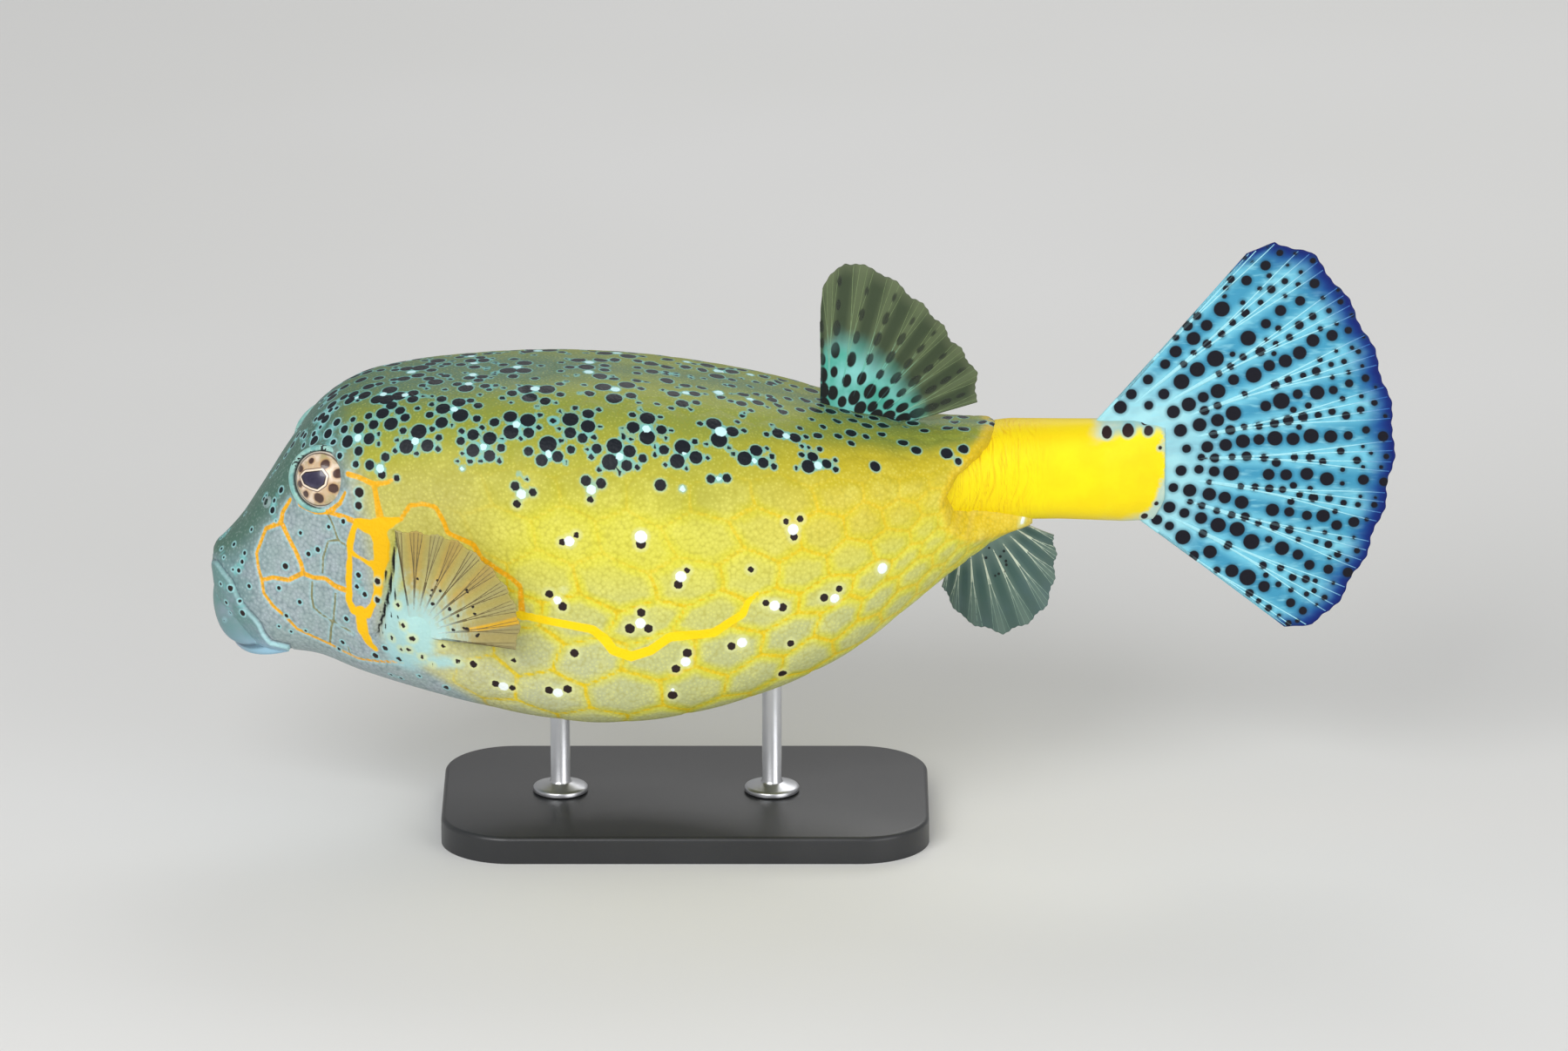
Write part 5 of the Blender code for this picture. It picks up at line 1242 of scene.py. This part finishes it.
def rayTree():  # from middle lines to jointed, tapering rays
    tree = bpy.data.node_groups.new("finRays", "GeometryNodeTree")
    given = {
        "Lines": ("Geometry", None), "Sides": ("Int", 7), "Joint Length": ("Float", 0.0011),
        "Joint Depth": ("Float", 0.10), "Material": ("Material", None),
    }
    for label, (kind, value) in given.items():
        item = tree.interface.new_socket(label, in_out="INPUT", socket_type=f"NodeSocket{kind}")
        if value:
            item.default_value = value
    tree.interface.new_socket("Rays", in_out="OUTPUT", socket_type="NodeSocketGeometry")
    graph = Graph(tree)
    group = tree.nodes.new("NodeGroupInput")
    lines, sides, jointLength, jointDepth, material = (Wire(graph, group.outputs[label]) for label in given)
    curve = graph.node("GeometryNodeMeshToCurve", {}, {"Mesh": lines})
    profile = graph.node("GeometryNodeCurvePrimitiveCircle", {}, {"Resolution": sides, "Radius": 1.0}, "Curve")
    thick = graph.node("GeometryNodeInputNamedAttribute", {"data_type": "FLOAT"}, {"Name": "thick"})
    along = graph.node("GeometryNodeSplineParameter", output="Length")
    width = ((along / jointLength).math("PINGPONG", 1.0) * jointDepth + 1.0) * thick
    sweep = {"Curve": curve, "Profile Curve": profile, "Scale": width, "Fill Caps": True}
    tube = graph.node("GeometryNodeCurveToMesh", {}, sweep)
    whole = graph.node("GeometryNodeRealizeInstances", {}, {"Geometry": tube})
    painted = graph.node("GeometryNodeSetMaterial", {}, {"Geometry": whole, "Material": material})
    tree.links.new(painted.socket, tree.nodes.new("NodeGroupOutput").inputs["Rays"])
    return tree


def buildRays(name, fin, surface, material, sheet):
    points, edges, thick = rayLines(fin, surface)
    near = nearestOf(vertex.co for vertex in sheet.data.vertices)
    spots = sheet.data.attributes["dark"].data
    dark = [spots[near.find(point)[1]].value for point in points]
    mesh = bpy.data.meshes.new(name + "Lines")
    mesh.from_pydata(points, edges, [])
    setAttributes(mesh, {"thick": thick, "dark": dark})
    piece = newObject(name, mesh)
    grown = piece.modifiers.new("rays", "NODES")
    grown.node_group = rays
    given = {"Sides": 6, "Material": material}
    for item in rays.interface.items_tree:
        if item.in_out == "INPUT" and item.name in given:
            grown[item.identifier] = given[item.name]
    bpy.context.view_layer.update()
    result = bpy.data.meshes.new_from_object(piece.evaluated_get(bpy.context.evaluated_depsgraph_get()))
    piece.modifiers.clear()
    piece.data = result
    result.shade_smooth()
    return piece


def rayMaterial(name, fin, start):  # the rays' colour changes with the distance from a point
    paint = Paint(name, Specular_IOR_Level=0.45, IOR=1.4)
    speck = paint.grain(700.0, 3.0) - 0.5
    gap = paint.node("ShaderNodeVectorMath", {"operation": "DISTANCE"}, [paint.place(), start], "Value") / mm
    near, far = fin["rayColours"]
    paint.lay((gap + speck * 6).rise(*fin["rayFade"]), far, over=near)
    paint.lay(speck.size() * 0.5, rgb(70, 110, 120))
    paint.lay((paint.read("dark") + speck * 0.2).fall(-0.2, 0.15) * 0.93, rgb(24, 24, 34))
    return paint.feed(0.44 + speck * 0.15)


def buildFin(name, node, slot, fin, surface, darkAt, material, start=None):
    sheet = finSheet(f"{name}Membrane", fin, surface, darkAt)
    finish(sheet, material, slot, node)
    if start is None:
        start = (fin["origin"][0] * mm, 0.0, fin["origin"][1] * mm + lift)
    rayPaint = rayMaterial(f"{name}Rays", fin, start)
    finish(buildRays(f"{name}Rays", fin, surface, rayPaint, sheet), rayPaint, slot)


def tailSurface(share, out):
    angle, length = fanned(tailFin, share)
    root = np.minimum(tailFin["root"], tailFin["rise"] / np.maximum(np.sin(angle), 0.01)) - tailFin["sink"]
    radius = between((root, length), out)
    wave = tailFin["wave"] * out**2 * np.sin(3.0 * math.pi * share)
    centreX, centreZ = tailFin["origin"]
    return placed(centreX + radius * np.cos(angle), wave, centreZ + radius * np.sin(angle))


def spotRow(share, draw, radii, step, start, stop):  # spots in a row along the rays
    spots = []
    out = start + draw.uniform(0, 0.04)
    while out < stop:
        radius = draw.uniform(*radii) * (0.72 + 0.45 * math.sin(math.pi * min(out * 1.05, 1)))
        place = tailSurface(np.array(share + draw.normal(0, 0.006)), np.array(out))
        spots.append((place, radius * mm))
        out += step * draw.uniform(0.85, 1.15)
    return spots


def tailSpots(share, out, middle):
    draw = np.random.default_rng(randomSeed + 1)
    membranes = tailFin["rays"] - 1
    spots = []
    middles = (np.arange(membranes) + 0.5) / membranes
    onRays = np.clip(np.arange(membranes + 1) / membranes, 0.014, 0.986)
    beside = (np.arange(2 * membranes) + 0.5) / membranes / 2
    for shares, rule in zip((middles, onRays, beside), tailFin["spotRows"]):
        for at in shares:
            spots += spotRow(at, draw, *rule)
    kept = []
    for place, radius in spots:
        if all(np.linalg.norm(place - p) > radius + r + tailFin["spotGap"] * mm for p, r in kept):
            kept.append((place, radius))
    return spotDistances(middle.reshape(-1, 3), kept)[0]


def tailMaterial():
    paint = Paint("tailMembrane", Specular_IOR_Level=0.35, IOR=1.38)
    out, across, dark = paint.read("out", "across", "dark")
    grain, mottle, speck, blotch = paint.noises(900.0, 90.0, 4.0)
    paint.lay((across + blotch * 0.3).rise(0.15, 0.75), rgb(112, 194, 218), over=rgb(66, 152, 186))
    paint.lay((out + speck * 0.05 + blotch * 0.1).fall(0.06, 0.40) * 0.8, rgb(176, 228, 232))
    paint.lay(mottle.rise(0.4, 0.75) * 0.3, rgb(52, 124, 160))
    streaks = paint.grain(520.0, 2.0, paint.stretched(0.35, 1.0, 1.6))
    paint.lay(streaks.rise(0.5, 0.72) * 0.5, rgb(150, 218, 232))
    paint.lay((out + blotch * 0.08).rise(0.86, 0.98), rgb(10, 66, 140))
    paint.lay((out + blotch * 0.04).rise(0.94, 1.0), rgb(3, 26, 104))
    spot = dark + speck * 0.15
    paint.lay(spot.fall(0.0, 1.0) * 0.42, rgb(16, 62, 92))
    paint.lay(spot.fall(-0.12, 0.18), rgb(14, 14, 26))
    fibres = paint.grain(420.0, 2.0, paint.stretched(0.5, 1.0, 2.2))
    return paint.feed(0.46 + speck * 0.16, grain * 0.3 + fibres * 0.7, 0.14)


print("stage: tail fin")
rays = rayTree()
buildFin("tail", "caudal_fin", "tail_fin", tailFin, tailSurface, tailSpots, tailMaterial())


def uprightSurface(fin):
    def surface(share, out):
        angle, length = fanned(fin, share)
        rootX, rootZ = between(fin["base"], share), between(fin["baseHeight"], share)
        tipX = fin["origin"][0] + length * np.cos(angle)
        tipZ = fin["origin"][1] + length * np.sin(angle)
        y = fin["wave"] * out**2 * np.sin(2.5 * math.pi * share + 0.5)
        return placed(between((rootX, tipX), out), y, between((rootZ, tipZ), out))
    return surface


def dorsalSpots(share, out, middle):  # longer towards the fin's edge
    draw = np.random.default_rng(randomSeed + 2)
    surface = uprightSurface(dorsalFin)
    nearest = np.full(share.shape, farOff)
    for column in range(dorsalFin["spotColumns"]):
        at = np.array((column + 0.5) / dorsalFin["spotColumns"])
        place = dorsalFin["spotStart"] + dorsalFin["spotStagger"] * (column % 2)
        while place < dorsalFin["spotEnd"]:
            centre, tip = (surface(at, np.array(place + ahead)) / mm for ahead in (0.0, 0.02))
            way = (tip - centre) / np.linalg.norm(tip - centre)
            local = middle / mm - centre
            alongRay = local @ way
            side = np.sqrt(np.maximum((local**2).sum(axis=-1) - alongRay**2, 0))
            radius = draw.uniform(*dorsalFin["spotRadii"]) * between(dorsalFin["spotTaper"], place)
            gap = np.hypot(alongRay / between(dorsalFin["spotLength"], place), side) - radius
            nearest = np.minimum(nearest, gap)
            step, growth = dorsalFin["spotStep"]
            place += step + growth * place
    return nearest


def analSpots(share, out, middle):
    draw = np.random.default_rng(randomSeed + 3)
    surface = uprightSurface(analFin)
    spots = []
    for _ in range(analFin["spots"]):
        at, far, radius = (draw.uniform(*analFin[key]) for key in ("spotShares", "spotOuts", "spotRadii"))
        spots.append((surface(np.array(at), np.array(far)), radius * mm))
    return spotDistances(middle.reshape(-1, 3), spots)[0]


def dorsalMaterial():
    paint = Paint("dorsalMembrane", Specular_IOR_Level=0.35, IOR=1.38)
    out, share, across, dark = paint.read("out", "share", "across", "dark")
    grain, mottle, speck, blotch = paint.noises(900.0, 120.0, 4.0)
    far = (out + blotch * 0.2 + share * 0.12).rise(0.40, 0.66)
    olive = paint.mix(across.rise(0.2, 0.9), rgb(58, 72, 48), rgb(92, 106, 74))
    paint.lay(mottle.rise(0.3, 0.7), rgb(136, 208, 204), over=rgb(76, 168, 150))
    paint.lay(far, olive)
    paint.lay((dark + speck * 0.14).fall(-0.12, 0.2) * (1 - far * 0.35), rgb(24, 28, 28))
    paint.lay(out.rise(0.9, 1.0) * 0.4, rgb(112, 122, 90))
    return paint.feed(0.46 + speck * 0.15, grain * 0.4 + mottle * 0.4, Alpha=1 - far * 0.12)


def analMaterial():
    paint = Paint("analMembrane", Specular_IOR_Level=0.35, IOR=1.38)
    out, across, dark = paint.read("out", "across", "dark")
    grain, mottle, speck, _ = paint.noises(900.0, 120.0, 4.0)
    paint.lay(across.rise(0.2, 0.9), rgb(96, 120, 110), over=rgb(66, 94, 88))
    paint.lay(out.fall(0.0, 0.45) * 0.7, rgb(150, 176, 164))
    paint.lay(mottle.rise(0.4, 0.7) * 0.35, rgb(80, 106, 112))
    paint.lay((dark + speck * 0.1).fall(-0.08, 0.14), rgb(30, 36, 36))
    return paint.feed(0.46 + speck * 0.15, grain * 0.4 + mottle * 0.4, Alpha=1 - out.rise(0.3, 1.0) * 0.2)


print("stage: dorsal and anal fins")
buildFin("dorsal", "dorsal_fin", "back_fin", dorsalFin, uprightSurface(dorsalFin), dorsalSpots, dorsalMaterial())
buildFin("anal", "anal_fin", "belly_fin", analFin, uprightSurface(analFin), analSpots, analMaterial())


def sideOrigin(side):
    x, height = (value * mm for value in sideFin["origin"])
    ring = int(np.argmin(np.abs(skin.grid[:, 0, 0] - x)))
    half = skin.grid[ring, : skin.spokes // 2]
    flank = half[int(np.argmin(np.abs(half[:, 2] - lift - height)))]
    return np.array([x, side * (abs(flank[1]) - sideFin["sink"] * mm), flank[2]])


def sideSurface(side):
    origin = sideOrigin(side)

    def surface(share, out):
        angle, length = fanned(sideFin, share)
        radius = between((sideFin["root"], length), out)
        outwards = sideFin["spread"] * radius * (1 - sideFin["cup"] * out)
        ripple = sideFin["wave"] * out**2 * np.sin(4 * math.pi * share)
        up = (np.sin(angle) * radius + math.sin(sideFin["slope"]) * outwards) / math.cos(sideFin["slope"])
        return origin + np.stack([radius * np.cos(angle), side * (outwards + ripple), up], axis=-1) * mm
    return surface


def sideSpots(share, out, middle):
    draw = np.random.default_rng(randomSeed + 4)
    nearest = np.full(share.shape, farOff)
    for _ in range(sideFin["spots"]):
        at, far, radius = (draw.uniform(*sideFin[key]) for key in ("spotShares", "spotOuts", "spotRadii"))
        gap = np.hypot((share - at) * out * sideFin["length"] * 1.85, (out - far) * sideFin["length"]) - radius
        nearest = np.minimum(nearest, gap)
    return nearest


def sideMaterial():
    paint = Paint("sideMembrane", Specular_IOR_Level=0.35, IOR=1.38)
    out, share, across, dark = paint.read("out", "share", "across", "dark")
    grain, mottle, speck, blotch = paint.noises(900.0, 140.0, 4.0)
    paint.lay(across.rise(0.1, 0.9), rgb(210, 200, 130), over=rgb(192, 178, 104))
    streak = ((share + blotch * 0.04) * 4.5).math("FRACT")
    gold = (streak - 0.5).size().fall(0.04, 0.30) * share.fall(0.5, 0.7)
    paint.lay(gold * (out + blotch * 0.2).rise(0.30, 0.55) * 0.55, rgb(222, 170, 50))
    paint.lay(share.rise(0.78, 0.88) * out.rise(0.3, 0.5) * 0.5, rgb(160, 144, 104))
    bands = ((share + blotch * 0.05) * 9).math("FRACT")
    paint.lay((bands - 0.5).size().rise(0.1, 0.4) * out.rise(0.35, 0.7) * 0.34, rgb(138, 130, 98))
    ribbon = (share - 0.87 + (out - 0.7) * 0.05).size().fall(0.010, 0.028) * out.rise(0.42, 0.55)
    paint.lay(ribbon * 0.85, rgb(244, 188, 30))
    fibres = paint.grain(420.0, 2.0, paint.stretched(1.8, 1.0, 0.7)) - 0.5
    paint.lay((out + blotch * 0.30 + fibres * 0.5).fall(0.14, 0.60), rgb(186, 224, 220))
    paint.lay((dark + speck * 0.1).fall(-0.08, 0.14), rgb(44, 36, 34))
    alpha = 1 - (out + speck * 0.3).rise(0.4, 1.0) * 0.34
    return paint.feed(0.46 + speck * 0.15, grain * 0.4 + mottle * 0.4, Alpha=alpha)


print("stage: side fins")
sidePaint = sideMaterial()
for side, label in ((-1, "left"), (1, "right")):
    name, node, start = f"{label}Side", f"pectoral_fin_{label}", tuple(sideOrigin(side))
    buildFin(name, node, "side_fin", sideFin, sideSurface(side), sideSpots, sidePaint, start)


# The stand
stand = {
    "middle": -30.0, "halfLength": 62.0, "halfWidth": 36.0, "corner": 18.0, "height": 7.0, "bevel": 1.2,
    "rod": 2.5, "foot": 7.0, "bevelSteps": 7, "cornerSteps": 25, "rodSpokes": 72,
    "rods": {"stand_rod_front": -62.0, "stand_rod_rear": -8.0},
    "sharp": math.radians(38),
}


def buildBase():
    bevel = stand["bevel"]
    profile = [(0.0, 0.0)]
    for turn in np.radians(np.linspace(0, 90, stand["bevelSteps"])):
        profile.append((bevel * (1 - math.cos(turn)), stand["height"] - bevel * (1 - math.sin(turn))))
    grid = []
    for inset, z in profile:
        ring = []
        for signX, signY, start in ((1, 1, 0), (-1, 1, 90), (-1, -1, 180), (1, -1, 270)):
            for angle in np.radians(start + np.linspace(0, 90, stand["cornerSteps"])):
                reach = stand["corner"] - inset
                x = stand["middle"] + signX * (stand["halfLength"] - stand["corner"]) + reach * math.cos(angle)
                y = signY * (stand["halfWidth"] - stand["corner"]) + reach * math.sin(angle)
                ring.append((x * mm, y * mm, z * mm))
        grid.append(ring)
    piece = tubePiece("standBase", grid)
    piece.data.set_sharp_from_angle(angle=stand["sharp"])
    return piece


def baseMaterial():
    paint = Paint("basePaint", Specular_IOR_Level=0.5, Coat_Roughness=0.25)
    grain, cloud, _, soft = paint.noises(2600.0, 22.0)
    paint.lay(cloud.rise(0.3, 0.7), rgb(48, 49, 51), over=rgb(40, 41, 43))
    return paint.feed(0.36 + soft * 0.12, grain, 0.03)


def buildRod(name, node, place):
    low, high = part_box(node)
    foot, top = low.z, high.z
    rod, rim = stand["rod"], stand["foot"]
    profile = [
        (rod - 0.3, top), (rod, top - 0.3 * mm), (rod, foot + 2.9 * mm), (rod + 0.35, foot + 2.35 * mm),
        (rod + 1.1, foot + 2.1 * mm), (rim - 0.9, foot + 1.45 * mm), (rim - 0.2, foot + 1.2 * mm),
        (rim, foot + 0.9 * mm), (rim, foot + 0.1 * mm), (rim - 0.2, foot),
    ]
    angle = np.linspace(0, 2 * math.pi, stand["rodSpokes"], endpoint=False)
    grid = []
    for reach, z in profile:
        across, along = reach * mm * np.sin(angle), place * mm + reach * mm * np.cos(angle)
        grid.append(np.stack([along, across, z + 0 * angle], axis=1))
    piece = tubePiece(name, grid)
    piece.data.set_sharp_from_angle(angle=stand["sharp"])
    return piece


def rodMaterial():
    paint = Paint("brushedRod", Metallic=1.0, Specular_IOR_Level=0.5)
    brushed = paint.grain(500.0, 3.0, paint.stretched(1.0, 1.0, 14.0))
    cloud = paint.grain(60.0, 2.0)
    paint.lay(cloud.rise(0.3, 0.7), rgb(210, 211, 214), over=rgb(196, 198, 202))
    return paint.feed(0.24 + brushed * 0.18, brushed, 0.012)


print("stage: stand")
finish(buildBase(), baseMaterial(), "stand_plate", "stand_base")
rodPaint = rodMaterial()
for node, place in stand["rods"].items():
    label = "frontRod" if node.endswith("front") else "rearRod"
    finish(buildRod(label, node, place), rodPaint, "stand_rod", node)


# Floor, light and camera
studio = {
    "floor": rgb(228, 228, 226), "floorPatches": rgb(231, 231, 230), "floorSize": 6.0, "world": 0.39,
    "aim": (-0.01, 0.0, 0.08),
    "lights": {  # place and size in metres, and watts
        "keyLight": ((-0.55, -1.05, 0.85), (0.9, 0.7), 12.0),
        "fillLight": ((0.9, -1.0, 0.40), (0.9, 0.9), 6.4),
        "rimLight": ((0.25, 0.95, 0.85), (0.9, 0.5), 3.5),
    },
}
cameraPlace = {
    "lens": 250.0, "sensor": 36.0, "frame": 1800 * picture["pixel"], "aim": (-0.0049, 0.0, 0.0783),
    "clip": (0.05, 60.0),
}


def buildFloor():
    bpy.ops.mesh.primitive_plane_add(size=studio["floorSize"])
    floor = bpy.context.active_object
    floor.name = "floor"
    paint = Paint("paleFloor", Specular_IOR_Level=0.2)
    paint.lay(paint.grain(3.0, 2.0).rise(0.3, 0.7), studio["floorPatches"], over=studio["floor"])
    floor.data.materials.append(paint.feed(0.8 + paint.grain(40.0) * 0.1))


def areaLight(name, place, size, power):
    light = bpy.data.lights.new(name, "AREA")
    light.shape = "RECTANGLE"
    light.size, light.size_y = size
    light.energy = power
    lamp = newObject(name, light)
    lamp.location = place
    lamp.rotation_euler = (Vector(studio["aim"]) - Vector(place)).to_track_quat("-Z", "Y").to_euler()


def buildCamera():
    data = bpy.data.cameras.new("camera")
    data.lens, data.sensor_width = cameraPlace["lens"], cameraPlace["sensor"]
    data.clip_start, data.clip_end = cameraPlace["clip"]
    distance = data.lens / data.sensor_width * cameraPlace["frame"]
    lean = picture["elevation"]
    aim = Vector(cameraPlace["aim"])
    camera = newObject("camera", data)
    camera.location = aim + Vector((0.0, -math.cos(lean), math.sin(lean))) * distance
    camera.rotation_euler = (aim - camera.location).to_track_quat("-Z", "Y").to_euler()
    bpy.context.scene.camera = camera


print("stage: studio")
buildFloor()
for name, settings in studio["lights"].items():
    areaLight(name, *settings)
world = bpy.data.worlds.new("studio")
world.use_nodes = True
background = world.node_tree.nodes["Background"].inputs
background["Color"].default_value = (1.0, 1.0, 1.0, 1.0)
background["Strength"].default_value = studio["world"]
bpy.context.scene.world = world
bpy.context.scene.view_settings.view_transform = "Standard"
buildCamera()
